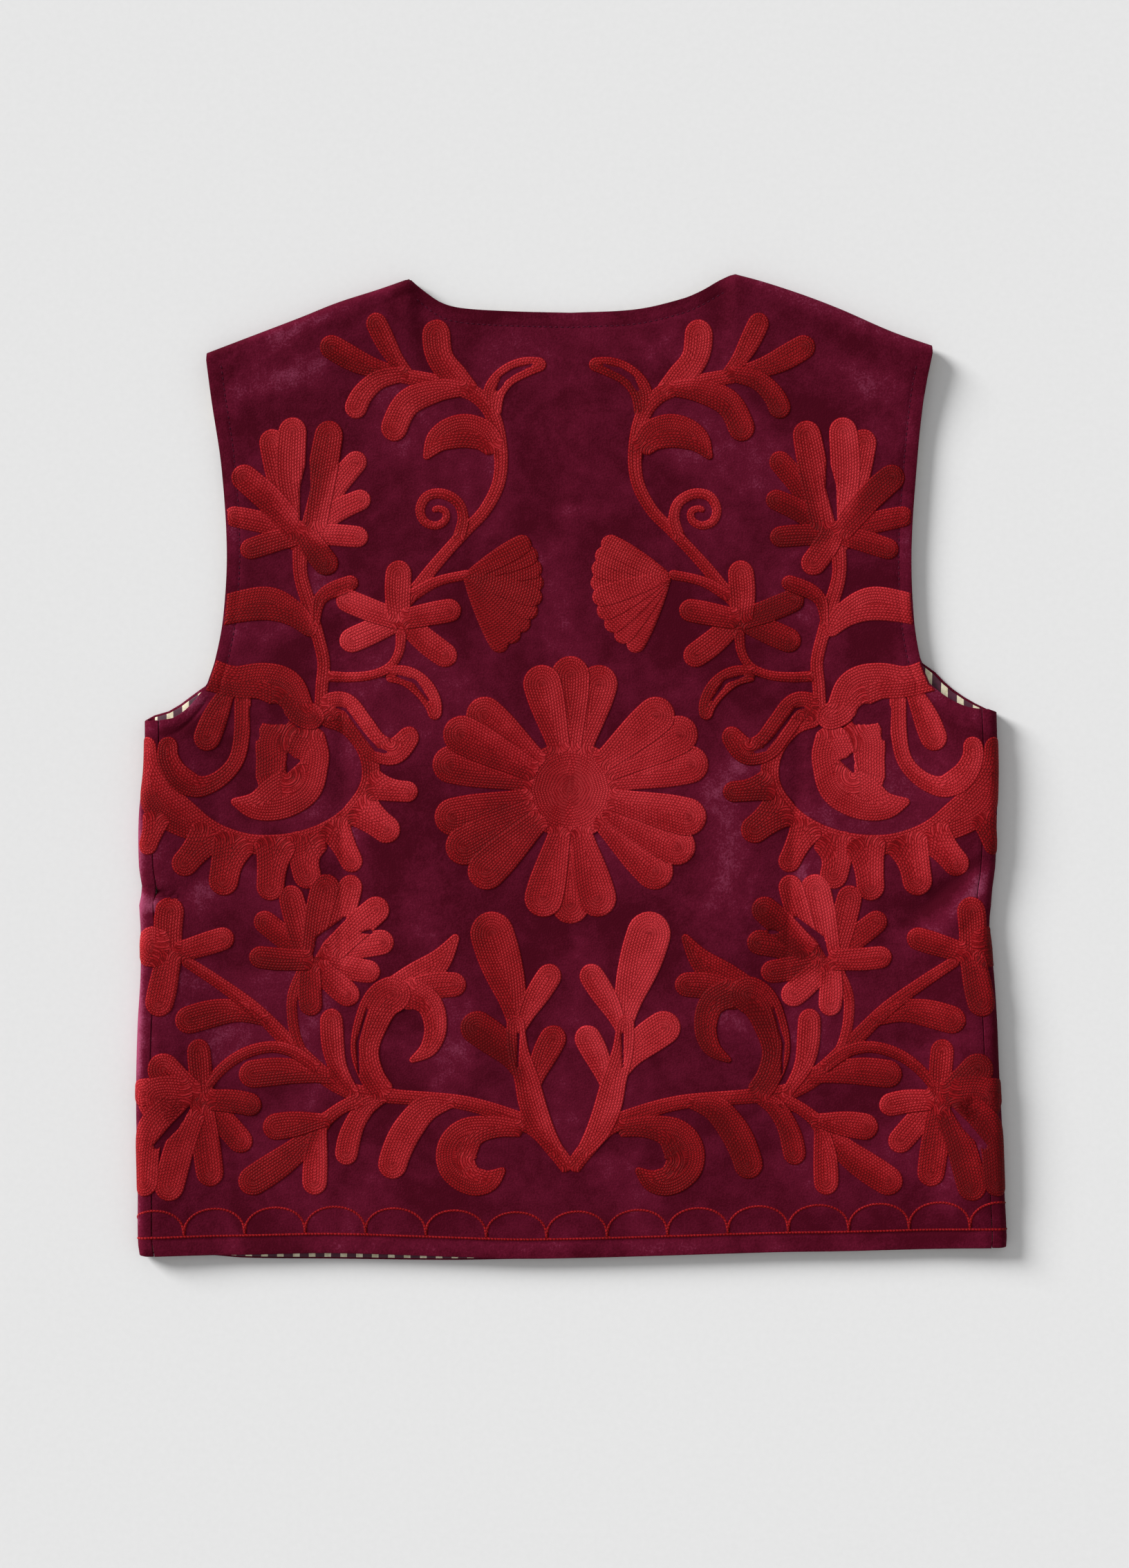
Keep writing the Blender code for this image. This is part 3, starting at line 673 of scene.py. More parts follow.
def surface(x, height):
    """Points of the outer velvet at places on the garment, round the side folds and all."""
    out, way = np.abs(x), np.where(x < 0, -1.0, 1.0)
    side = by_side(SIDES, height, x)
    radius = by_side(SIDES, height, x, "_fold") / 2
    turned = np.maximum(out - side + radius, 0) / radius
    further = LAST_TURN + PAST_TURN * (turned - LAST_TURN)
    turned = np.where(turned > LAST_TURN, further, turned)
    on_front = out > side - SEAM_INSET
    across = np.where(turned > 0, side - radius + radius * np.sin(turned), out)
    rolled = radius * (1 + np.cos(turned)) + creased(x, height) * np.cos(turned / 2) ** 2
    z = np.where(on_front, rolled, back_top(x, height))
    return np.stack([way * across, height + 0 * x, z], axis=-1)


def ground(x, height):
    """Points of the outer velvet and their outward normals."""
    step = 0.6
    over = surface(x + step, height) - surface(x - step, height)
    up = surface(x, height + step) - surface(x, height - step)
    normal = np.cross(over, up)
    return surface(x, height), normal / np.linalg.norm(normal, axis=-1, keepdims=True)


def placed(points):
    """World coordinates in metres of points that are given from the centre back and the hem."""
    return (points + np.array([MIDDLE_X, HEM_LINE_Y, 0.0])) * MM


def nap_and_painted_light_at(x, height):
    """How far the velvet is lightened or darkened by the listed patches: brushed nap, painted
    highlights and painted shade.
    """
    return sum(fold_rise(patch, x, height) for patch in NAP_AND_PAINTED_LIGHT)


def steps(length, pitch):
    """Even shares of a length at about the pitch, 0 and 1 among them."""
    return np.linspace(0, 1, max(2, int(round(length / pitch)) + 1))


def with_lines(shares, length, lines):
    """The shares, with more of them beside lines at distances from the far end."""
    extra = [1 - (line + offset) / length for line in lines for offset in GROOVE_OFFSETS]
    kept = [share for share in shares
            if min(abs(share - other) for other in extra) * length > LINE_CLEAR]
    return np.array(sorted(kept + extra))


def back_grid():
    """The back's columns, each its points from the hem up: whole ones, and short ones
    that end under the arm."""
    lines = [TURN_HEIGHT - HEM_GROOVE, TURN_HEIGHT - HEM_EDGE_LINE, UNDER_STITCH_INSET]
    body = with_lines(steps(TURN_HEIGHT, PITCH), TURN_HEIGHT, lines)
    chest_length = TIP_HEIGHT - TURN_HEIGHT
    neck_line = NECK_STITCH_INSET - SHOULDER_TOP / 2
    chest = with_lines(steps(chest_length, PITCH), chest_length, [neck_line])[1:]
    roll = steps(1, 1 / ROLL_STEPS)[1:]
    places = with_lines(steps(ARMHOLE_OUT, PITCH), ARMHOLE_OUT, [STITCH_INSET])
    under = steps(UNDER_LENGTH, PITCH)[1:]
    columns = []
    for side in SIDE_NAMES:
        made = [back_column(side, "chest", place, body, chest, roll) for place in places]
        made += [back_column(side, "underarm", share, body, chest, roll) for share in under]
        columns += made[::-1] if side == "left" else made[1:]
    return columns, len(body)


def back_column(side, kind, place, body, chest, roll):
    """Upper-face points of one column of the back, from the hem up."""
    way = sign(side)
    turn = along(BACK_ARMHOLE, TURN_HEIGHT, side)
    reach, inner, head = 0.0, place * turn, TURN_HEIGHT
    if kind == "underarm":
        seam_head = along(BACK_UNDERARM, 1, side)
        reach = (along(BACK_UNDERARM, place, side) - turn) / (seam_head - turn)
        inner = turn
        head = along(BACK_UNDERARM, place, side + "_height")
    foot = lerp(inner, along(SIDES, 0, side) - SEAM_INSET, reach)
    height = lerp(hem_height(way * foot), head, body)
    x = way * lerp(inner, along(SIDES, height, side) - SEAM_INSET, reach)
    low = np.stack([x, height, back_top(x, height)], axis=-1)
    if kind == "underarm":
        return low
    edge_x = way * place * along(BACK_ARMHOLE, TIP_HEIGHT, side)
    quarter = SHOULDER_TOP / 2
    start = top_edge(edge_x) - quarter
    height = lerp(TURN_HEIGHT, start, chest)
    x = way * place * along(BACK_ARMHOLE, lerp(TURN_HEIGHT, TIP_HEIGHT, chest), side)
    middle = np.stack([x, height, back_top(x, height)], axis=-1)
    angle = roll * np.arccos(SEAM_GAP / SHOULDER_TOP)
    rolled = shoulder_share(edge_x)
    height = top_edge(edge_x) - quarter * lerp(1 - roll, 1 - np.sin(angle), rolled)
    z = back_top(edge_x, start) - quarter * (1 - np.cos(angle)) * rolled
    high = np.stack([edge_x + 0 * height, height, z], axis=-1)
    return np.concatenate([low, middle, high])


def neckline(side, share):
    """The front's inner edge from the turn's height (0) up to the neck point (1)."""
    edge = sign(side) * FRONT_EDGE[side]
    bend = np.maximum((share - NECK_LEAVE) / (1 - NECK_LEAVE), 0)
    out = lerp(edge, NECK_POINT, bend**NECK_CURVE)
    neck_top = top_edge(sign(side) * NECK_POINT)
    straight = lerp(TURN_HEIGHT, NECK_DROP, share / NECK_LEAVE)
    return out, np.where(share <= NECK_LEAVE, straight, lerp(NECK_DROP, neck_top, bend))


def front_column(side, kind, share, body, chest, roll, inset=0.0, lift=0.0):
    """Outer-face points of one column of a front, or of a layer lifted and inset inside it."""
    way = sign(side)
    edge = way * FRONT_EDGE[side] + inset
    turn = along(FRONT_ARMHOLE, TURN_HEIGHT, side) - inset
    turn_height = along(FRONT_UNDERARM, 0, side + "_height") - inset
    fold_head = along(FRONT_UNDERARM, 1, side) - inset
    fold_foot = along(SIDES, 0, side) - along(SIDES, 0, side + "_fold") / 2 - inset / 2
    reach = 0.0
    if kind == "chest":
        foot = lerp(edge, turn, share)
        head_height = lerp(TURN_HEIGHT, turn_height, share**3)
    elif kind == "underarm":
        head = along(FRONT_UNDERARM, share, side) - inset
        head_height = along(FRONT_UNDERARM, share, side + "_height") - inset
        reach = (head - turn) / (fold_head - turn)
        foot = lerp(turn, fold_foot, reach)
    else:
        foot = fold_foot
        floor_end = along(FRONT_UNDERARM, 1, side + "_height")
        seam_end = along(BACK_UNDERARM, 1, side + "_height")
        bent = min(share, 1)
        head_height = lerp(floor_end, seam_end, bent) - UNDERARM_DIP * np.sin(np.pi * bent)
    hem = along(HEM, way * foot, "front") + inset
    if kind == "fold":
        hem = lerp(hem, along(HEM, way * foot, "back") - HEM_HANG, min(share, 1))
    height = lerp(hem, head_height, body)
    radius = along(SIDES, height, side + "_fold") / 2
    fold_start = along(SIDES, height, side) - radius
    if kind == "fold":
        turned = np.pi * min(share, 1)
        seam = along(SIDES, height, side) - SEAM_INSET + SEAM_GAP
        out = lerp(fold_start + radius * np.sin(turned), seam, max(share - 1, 0))
        pulled = creased(way * out, height) * np.sin(turned / 2) ** 2
        return np.stack([way * out, height, radius * (1 - np.cos(turned)) + pulled], axis=-1)
    out = foot + 0 * height
    if kind == "underarm":
        out = lerp(turn, fold_start - inset / 2, reach)
    low = np.stack([way * out, height, lift + 0 * height], axis=-1)
    if kind == "underarm":
        return low
    quarter = SHOULDER_TOP / 2
    tip = along(FRONT_ARMHOLE, TIP_HEIGHT, side) - inset
    shoulder_out = lerp(NECK_POINT + inset, tip, share)
    shoulder = top_edge(way * shoulder_out)
    start = shoulder - quarter - inset * 2
    inner_out, inner_height = neckline(side, chest)
    outer_out = along(FRONT_ARMHOLE, lerp(turn_height, TIP_HEIGHT, chest), side) - inset
    out = lerp(inner_out + inset, outer_out, share)
    foot_height = lerp(TURN_HEIGHT, turn_height, share**3)
    bend = inner_height - lerp(TURN_HEIGHT, top_edge(way * NECK_POINT), chest)
    height = lerp(foot_height, start, chest) + bend * (1 - share) * (1 - chest)
    middle = np.stack([way * out, height, lift + 0 * height], axis=-1)
    angle = roll * np.arccos(SEAM_GAP / SHOULDER_TOP)
    height = shoulder - quarter * (1 - np.sin(angle))
    z = quarter * (1 - np.cos(angle))
    high = np.stack([way * shoulder_out + 0 * height, height, z], axis=-1)
    return np.concatenate([low, middle, high])


def front_grid(side, lined=False, settings=None):
    """A front's columns, or those of its lining, with the count of rows below the arm."""
    body, chest = steps(TURN_HEIGHT, FRONT_PITCH), steps(CHEST_LENGTH, FRONT_PITCH)[1:]
    roll = np.array([]) if lined else steps(1, 1 / ROLL_STEPS)[1:]
    places = steps(ARMHOLE_OUT, FRONT_PITCH)
    under = steps(UNDER_LENGTH, FRONT_PITCH)[1:]
    fold = [] if lined else list(steps(1, 1 / FOLD_STEPS)[1:]) + LIP_STEPS
    lift = settings.velvet_wall + SEAM_GAP + settings.lining_wall if lined else 0.0
    kinds = [("chest", place) for place in places] + [("underarm", share) for share in under]
    kinds += [("fold", share) for share in fold]
    inset = LINING_INSET if lined else 0.0
    made = [front_column(side, *kind, body, chest, roll, inset, lift) for kind in kinds]
    return made, len(body)


def cloth(name, columns, short, finishes, wall, face_down=False):
    """A cloth wall through columns of points, of which the short ones end under the arm."""
    tall = max(len(column) for column in columns)
    mesh = bmesh.new()
    bmesh.ops.create_grid(mesh, x_segments=len(columns) - 1, y_segments=tall - 1, size=0.5)
    # Brushed nap with painted highlights and painted shade, which the velvet's colour reads.
    nap = mesh.verts.layers.float.new("nap")
    spots, outside = {}, []
    for vertex in mesh.verts:
        column = round((vertex.co.x + 0.5) * (len(columns) - 1))
        spots[vertex] = (column, round((vertex.co.y + 0.5) * (tall - 1)))
    for face in mesh.faces:
        high = min(spots[vertex][1] for vertex in face.verts) >= short - 1
        if high and any(len(columns[spots[vertex][0]]) < tall for vertex in face.verts):
            outside.append(face)
    bmesh.ops.delete(mesh, geom=outside, context="FACES")
    world = [placed(column) for column in columns]
    nap_and_painted_light_values = [nap_and_painted_light_at(column[:, 0], column[:, 1]) for column in columns]
    for vertex in mesh.verts:
        column, row = spots[vertex]
        vertex.co = world[column][row]
        vertex[nap] = nap_and_painted_light_values[column][row]
    mesh.normal_update()
    lowest = min(mesh.faces, key=lambda face: face.calc_center_median().z)
    if (lowest.normal.z > 0) == face_down:
        bmesh.ops.reverse_faces(mesh, faces=mesh.faces)
    piece = new_piece(name, mesh, finishes)
    shell = piece.modifiers.new("cloth wall", "SOLIDIFY")
    shell.thickness = wall * MM
    shell.offset = -1
    shell.material_offset = len(finishes) - 1
    edge = piece.modifiers.new("turned edge", "BEVEL")
    edge.limit_method = "ANGLE"
    edge.angle_limit = radians(55)
    edge.width = wall * TURNED_EDGE * MM
    edge.segments = 2
    edge.profile = 0.5
    edge.material = -1
    return piece


def new_piece(name, mesh, finishes, smooth_faces=True):
    """An object at the origin from a bmesh, which is freed."""
    data = bpy.data.meshes.new(name)
    mesh.to_mesh(data)
    mesh.free()
    if smooth_faces:
        data.shade_smooth()
    for finish in finishes:
        data.materials.append(finish)
    piece = bpy.data.objects.new(name, data)
    bpy.context.collection.objects.link(piece)
    return piece


def across_axis(x, height, aside=0.0):
    """The place that mirrors another one in the embroidery's centre line."""
    return 2 * (float(along(AXIS, height, "across")) + aside) - x, height


def worked(shape, side, aside=0.0):
    """The shape as it is worked on one side of the embroidery's centre line."""
    tone = np.broadcast_to(shape.tone, 2)[0 if side == "left" else 1]
    if side == "left":
        return shape._replace(tone=tone)
    spine = tuple(across_axis(*place, aside) for place in shape.spine)
    apex = shape.apex and across_axis(*shape.apex, aside)
    return shape._replace(tone=tone, spine=spine, apex=apex)


def mirrored_slit(slit):
    return slit._replace(x0=across_axis(slit.x0, slit.h0)[0], x1=across_axis(slit.x1, slit.h1)[0])


def end_rounding(shape, length):
    """How far from each end a shape's rounding begins."""
    root = shape.widths[0] / 2 * (1 if shape.round_root else ROOT_ROUNDING)
    return min(root, length / 2), min(shape.widths[-1] / 2, length / 2)


def ribbon(shape, pitch):
    """Places in a shape by station along its spine and share across, from -1 to 1, with the
    outward direction of each side."""
    length = run_along(np.array(shape.spine, float))[-1]
    start_round, end_round = end_rounding(shape, length)
    cap = 1 - np.cos(np.linspace(0, np.pi / 2, CAP_STEPS + 1))
    head, tail = start_round * cap, length - end_round * cap[::-1]
    middle = lerp(head[-1], tail[0], steps(tail[0] - head[-1], pitch))
    stations = np.unique(np.round(np.concatenate([head, middle, tail]), 3))
    centre = on_spine(shape, stations)
    heading = np.gradient(centre, stations, axis=0)
    heading /= np.linalg.norm(heading, axis=1, keepdims=True)
    right = np.stack([heading[:, 1], -heading[:, 0]], axis=-1)
    bend = np.gradient(np.unwrap(np.arctan2(heading[:, 1], heading[:, 0])), stations)
    width = half_width(shape, length, stations)
    for distance, radius in ((stations, start_round), (length - stations, end_round)):
        inward = 1 - np.clip(distance / radius, 0, 1)
        width = width * np.sqrt(np.clip(1 - inward**2, 0, 1))
    half = max(1, int(round(max(shape.widths) / 2 / pitch)))
    inner = np.arange(-half, half + 1) / half
    share = np.sign(inner) * (1 - (1 - np.abs(inner)) ** EDGE_CROWDING)
    tightest = TIGHTEST / np.maximum(np.abs(bend), 1e-6)
    turning_in = np.sign(share)[None, :] * np.sign(bend)[:, None] < 0
    reach = np.where(turning_in, np.minimum(width, tightest)[:, None], width[:, None])
    places = centre[:, None, :] + right[:, None, :] * (share[None, :] * reach)[:, :, None]
    return places, share, right


def run_along(line):
    """How far along a line each of its points is."""
    return np.concatenate([[0], np.cumsum(np.hypot(*np.diff(line, axis=0).T))])


def place_at(line, at):
    """Places on a line, by how far along it they are."""
    run = run_along(line)
    return np.stack([np.interp(at, run, line[:, i]) for i in (0, 1)], axis=-1)


def on_spine(shape, stations):
    """Places on the smooth curve through a shape's spine."""
    spine = np.array(shape.spine, float)
    chord = run_along(spine)
    return np.stack([smooth(chord, spine[:, i], stations) for i in (0, 1)], axis=-1)


def half_width(shape, length, stations):
    """Half a shape's width at stations along its spine."""
    return smooth(np.linspace(0, length, len(shape.widths)), shape.widths, stations) / 2


def nearest(points, line):
    """Distance of points from a line, and how far along it the nearest place is."""
    start, run = line[:-1], np.diff(line, axis=0)
    size = np.maximum((run**2).sum(axis=1), 1e-12)
    share = np.clip(((points[:, None] - start) * run).sum(axis=2) / size, 0, 1)
    gap = np.linalg.norm(points[:, None] - start - share[..., None] * run, axis=2)
    best = gap.argmin(axis=1)
    rows = np.arange(len(points))
    before = np.concatenate([[0], np.cumsum(np.sqrt(size))])[best]
    return gap[rows, best], before + share[rows, best] * np.sqrt(size[best])


def slit_distance(points, slit):
    """Distance from a slit's edge, below zero inside it."""
    start = np.array([slit.x0, slit.h0], float)
    run = np.array([slit.x1 - slit.x0, slit.h1 - slit.h0], float)
    share = np.clip(((points - start) @ run) / max(run @ run, 1e-9), 0, 1)
    gap = np.linalg.norm(points - start - share[:, None] * run, axis=1)
    return gap - lerp(slit.w0, slit.w1, share) / 2


def inside_shape(points, shape):
    """Distance of points inside a shape's edge, below zero outside it."""
    length = run_along(np.array(shape.spine, float))[-1]
    start, end = end_rounding(shape, length)
    stations = lerp(start, length - end, np.linspace(0, 1, max(8, int(length / 2))))
    if length - end - start < 0.01:
        stations = np.array([start, start + 0.01])
    line = on_spine(shape, stations)
    gap, run = nearest(points, line)
    at = lerp(stations[0], stations[-1], run / run_along(line)[-1])
    return half_width(shape, length, at) - gap


def pad_height(inside, settings):
    """How far a pad stands over the velvet at a distance inside its edge."""
    rise = np.sqrt(1 - (1 - np.clip(inside / PAD_EDGE, 0, 1)) ** 2)
    crown = CROWN * (1 - np.exp(-np.maximum(inside, 0) / CROWN_REACH))
    sunk = SINK * np.clip(inside, -SINK_REACH, 0)
    return (settings.pad_height + PAD_ROOT) * rise - PAD_ROOT + crown + sunk


def armhole_line(side):
    """The back's armhole edge from the shoulder down and out to the side seam."""
    height = np.linspace(TIP_HEIGHT, TURN_HEIGHT, ARMHOLE_POINTS)
    share = np.linspace(0, 1, UNDERARM_POINTS + 1)[1:]
    out = np.concatenate([along(BACK_ARMHOLE, height, side), along(BACK_UNDERARM, share, side)])
    up = np.concatenate([height, along(BACK_UNDERARM, share, side + "_height")])
    return np.stack([sign(side) * out, up], axis=-1)


def trimmed(flat, rise):
    """Places and rises of a pad that is cut off at the armhole, with the rest turned under."""
    flat = flat.copy()
    for side in SIDE_NAMES:
        way = sign(side)
        x, height = flat.T
        if (way * x).max() < ARM_REACH:
            continue
        line = armhole_line(side)
        gap, at = nearest(flat, line)
        edge = place_at(line, at)
        turn = way * line[ARMHOLE_POINTS - 1, 0]
        past_arm = (height > TURN_HEIGHT) & (way * x > along(BACK_ARMHOLE, height, side))
        under = line[ARMHOLE_POINTS:]
        under_top = np.interp(way * x, way * under[:, 0], under[:, 1])
        seam = along(SIDES, height, side) - SEAM_INSET
        past_under = (way * x > turn) & (way * x < seam + PAST_SEAM) & (height > under_top)
        away = np.where(past_arm | past_under, -gap, gap) - ARMHOLE_MARGIN
        rounding = np.sqrt(1 - (1 - np.clip(away, 0, 1)) ** 2)
        limit = rounding * (rise.max() + PAD_ROOT) - PAD_ROOT
        rise = np.minimum(rise, limit + np.clip(away * TUCK, -TUCK_LIMIT, 0))
        inward = -np.array([way * TUCK_WAY[0], TUCK_WAY[1]])
        over = np.maximum(-away, 0)
        tucked = edge + inward * (ARMHOLE_MARGIN + TUCK_SPREAD * over)[:, None]
        flat = np.where((over > 0)[:, None], tucked, flat)
    return flat, rise


def blended(flat, inside, shape, shapes):
    """How far inside all the shapes each place is, and its tone, which runs from one shape's
    to the next where they meet."""
    low, high = flat.min(axis=0) - NEIGHBOUR_REACH, flat.max(axis=0) + NEIGHBOUR_REACH
    weight = (inside + TONE_BLEND) ** 2
    tone = weight * shape.tone
    for other in shapes:
        spine, reach = np.array(other.spine), max(other.widths) / 2
        clear = (spine.min(axis=0) - reach > high) | (spine.max(axis=0) + reach < low)
        if other is not shape and not clear.any():
            depth = inside_shape(flat, other)
            share = np.maximum(depth + TONE_BLEND, 0) ** 2
            weight, tone = weight + share, tone + share * other.tone
            inside = np.maximum(inside, depth)
    return inside, tone / weight


def lit_by(shape, share, right, rows):
    """How much more light the stitches catch on the side of a shape that faces it."""
    if shape.apex:
        return 0
    outward = (right[:, None, :] * np.sign(share)[None, :, None]).reshape(-1, 2)
    return outward @ np.array(LIT_FROM) * np.clip(np.abs(np.tile(share, rows)) * 2, 0, 1)


def stitch_rows(shape, flat, places):
    """Where each place is across the rows of stitches, and along them on each side."""
    if shape.apex:
        away = flat - shape.apex
        radius = np.hypot(*away.T)
        along_row = np.arctan2(away[:, 1], np.abs(away[:, 0])) * radius
        return FAN_REACH[0] - radius, along_row, along_row
    # Rows run out at a root that is not round, instead of turning round it.
    first = 0 if shape.round_root else CAP_STEPS + 1
    left_run, left_at = nearest(flat, places[first:, 0])
    right_run, right_at = nearest(flat, places[first:, -1])
    return np.minimum(left_run, right_run), left_at, right_at


def add_pad(mesh, layers, shape, shapes, slits, lift, settings):
    """One embroidered shape as a raised pad whose rows of stitches follow its outline."""
    uv, tone = layers
    places, share, right = ribbon(shape, PAD_PITCH)
    flat = places.reshape(-1, 2)
    if any(slit_distance(flat, slit).min() < 0 for slit in slits):
        places, share, right = ribbon(shape, SLIT_PITCH)
        flat = places.reshape(-1, 2)
    rows, across = places.shape[:2]
    across_rows, left_at, right_at = stitch_rows(shape, flat, places)
    inside = np.minimum(nearest(flat, places[:, 0])[0], nearest(flat, places[:, -1])[0])
    inside, tone_here = blended(flat, inside, shape, shapes)
    for slit in slits:
        inside = np.minimum(inside, slit_distance(flat, slit))
    flat, rise = trimmed(flat, pad_height(inside, settings) + lift)
    x, height = flat.T
    seam = by_side(SIDES, height, x) - SEAM_INSET
    points, normals = ground(x, height)
    world = placed(points + normals * rise[:, None])
    # Painted light for the thread colour: the left side fold lit and the right one shaded, each
    # shape's tone as painted sheen, and the side of a shape that faces the light.
    turned = np.clip((np.abs(x) - seam) / SIDE_TONE_REACH, 0, SIDE_TONE_LIMIT)
    turned = turned * np.where(x < 0, SIDE_TONE, -SIDE_TONE)
    facing = lit_by(shape, share, right, rows)
    tones = SHAPE_TONE * tone_here + FACING_TONE * facing + turned
    made = bmesh.ops.create_grid(mesh, x_segments=across - 1, y_segments=rows - 1, size=0.5)
    spots = {}
    for vertex in made["verts"]:
        column = round((vertex.co.x + 0.5) * (across - 1))
        spots[vertex] = round((vertex.co.y + 0.5) * (rows - 1)) * across + column
    for vertex, spot in spots.items():
        vertex.co = world[spot]
        vertex[tone] = tones[spot]
    middle = (across - 1) / 2
    for face in {face for vertex in made["verts"] for face in vertex.link_faces}:
        column = sum(spots[vertex] % across for vertex in face.verts) / 4
        run = right_at if column > middle else left_at
        for loop in face.loops:
            spot = spots[loop.vert]
            loop[uv].uv = (run[spot] * MM, across_rows[spot] * MM)
    bmesh.ops.remove_doubles(mesh, verts=made["verts"], dist=1e-6)


def embroider(name, shapes, slits, settings):
    """One piece of embroidery: its shapes as pads on the velvet."""
    mesh = bmesh.new()
    layers = (mesh.loops.layers.uv.new("stitches"), mesh.verts.layers.float.new("tone"))
    for count, shape in enumerate(shapes):
        lift = 0 if shape.round_root else (1 + count % 5) * LIFT_STEP
        add_pad(mesh, layers, shape, shapes, slits, lift, settings)
    piece = new_piece(name, mesh, [material("chain_stitch", settings)])
    shell = piece.modifiers.new("thread backing", "SOLIDIFY")
    shell.thickness = PAD_BACKING * MM
    shell.offset = -1
    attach(piece, BODY)
    return piece


def embroider_both(name, shapes, slits, settings, aside=0.0):
    """The same embroidery on each side of the centre back."""
    embroider(name + "_left", [worked(shape, "left") for shape in shapes], slits, settings)
    shapes = [worked(shape, "right", aside) for shape in shapes]
    embroider(name + "_right", shapes, [mirrored_slit(slit) for slit in slits], settings)


def central_flower():
    """The disc and the lobes of the six petals, as shapes."""
    shapes = []
    for lobe in CENTRE_LOBES:
        turn = radians(lobe.turn)
        ends = [(CENTRE_X + r * np.cos(turn), CENTRE_HEIGHT + r * np.sin(turn))
                for r in (LOBE_ROOT, lobe.reach)]
        shapes.append(Shape(lobe.tone, LOBE_WIDTHS, tuple(ends)))
    width = 2 * DISC_RADIUS
    ends = ((CENTRE_X, CENTRE_HEIGHT - DISC_RADIUS), (CENTRE_X, CENTRE_HEIGHT + DISC_RADIUS))
    return shapes + [Shape(DISC_TONE, (width, width), ends, True)]


def fan():
    """The scalloped fan, as one narrow lobe for each scallop."""
    shapes = []
    for count in range(FAN_LOBES):
        share = count / (FAN_LOBES - 1)
        turn = radians(lerp(*FAN_TURNS, share))
        reach = lerp(*FAN_REACH, share)
        tip = (FAN_APEX[0] + reach * np.cos(turn), FAN_APEX[1] + reach * np.sin(turn))
        shapes.append(Shape(FAN_TONES, FAN_WIDTHS, (FAN_APEX, tip), False, FAN_APEX))
    return shapes


def hem_shapes():
    """The chain line above the hem and the scallops that stand on it."""
    reach = np.arange(-HEM_LINE_END, HEM_LINE_END + 1, HEM_LINE_STEP)
    line = hem_height(reach) + HEM_LINE_INSET
    shapes = [Shape(HEM_TONE, (SCALLOP_THREAD, SCALLOP_THREAD), tuple(zip(reach, line)))]
    for count in range(SCALLOPS):
        x = FIRST_VALLEY + count * SCALLOP_PERIOD
        spine = []
        for turn in np.linspace(0, np.pi, SCALLOP_STEPS):
            share = (1 - np.cos(turn)) / 2
            lift = np.sin(turn) ** SCALLOP_POWER * SCALLOP_RISE + SCALLOP_LIFT
            at = x + share * SCALLOP_PERIOD
            spine.append((at, hem_height(at) + HEM_LINE_INSET + lift))
        shapes.append(Shape(HEM_TONE, (SCALLOP_THREAD, SCALLOP_THREAD), tuple(spine), True))
    return shapes


def linear(code):
    """A colour's linear values from its sRGB hex code."""
    parts = [int(code[i : i + 2], 16) / 255 for i in (1, 3, 5)]
    bright = [((part + 0.055) / 1.055) ** 2.4 if part > 0.04045 else part / 12.92 for part in parts]
    return (*bright, 1.0)


def add_node(tree, kind, sockets=None, **settings):
    """Adds a node, with its settings, and with each socket given a value or a link."""
    made = tree.nodes.new(kind)
    for name, value in settings.items():
        setattr(made, name, value)
    for key, value in (sockets or {}).items():
        if isinstance(value, bpy.types.NodeSocket):
            tree.links.new(value, made.inputs[key])
        else:
            made.inputs[key].default_value = value
    return made


def ramp(tree, value, stops):
    """A colour ramp over the stops, each a place and a linear colour."""
    made = add_node(tree, "ShaderNodeValToRGB", {"Fac": value})
    points = made.color_ramp.elements
    for count, (place, colour) in enumerate(stops):
        point = points[count] if count < 2 else points.new(place)
        point.position, point.color = place, colour
    return made.outputs["Color"]


def maths(tree, operation, a, b=0.0, c=0.0):
    made = add_node(tree, "ShaderNodeMath", {0: a, 1: b, 2: c}, operation=operation)
    return made.outputs[0]


def scaled(tree, value, factor, offset=0.0):
    return maths(tree, "MULTIPLY_ADD", value, factor, offset)


def added(tree, *values):
    """The sum of the values."""
    total = values[0]
    for value in values[1:]:
        total = maths(tree, "ADD", total, value)
    return total


def noise(tree, scale, detail, roughness=0.5, distortion=0.0):
    """Noise fixed to the object, at a scale in cells a metre."""
    place = add_node(tree, "ShaderNodeTexCoord").outputs["Object"]
    made = add_node(tree, "ShaderNodeTexNoise", {
        "Vector": place, "Scale": scale, "Detail": detail, "Roughness": roughness,
        "Distortion": distortion})
    return made.outputs["Fac"]


def parts_of(tree, vector):
    return add_node(tree, "ShaderNodeSeparateXYZ", {"Vector": vector}).outputs


def finish_shader(tree, shader, colour, height=None, strength=0.0, distance=0.0, **values):
    """Gives a shader its colour, a bump at a height in metres, and its other values."""
    tree.links.new(colour, shader.inputs["Base Color"])
    for name, value in values.items():
        shader.inputs[name.replace("_", " ")].default_value = value
    if height is not None:
        bump = add_node(tree, "ShaderNodeBump",
                        {"Height": height, "Strength": strength, "Distance": distance})
        tree.links.new(bump.outputs["Normal"], shader.inputs["Normal"])


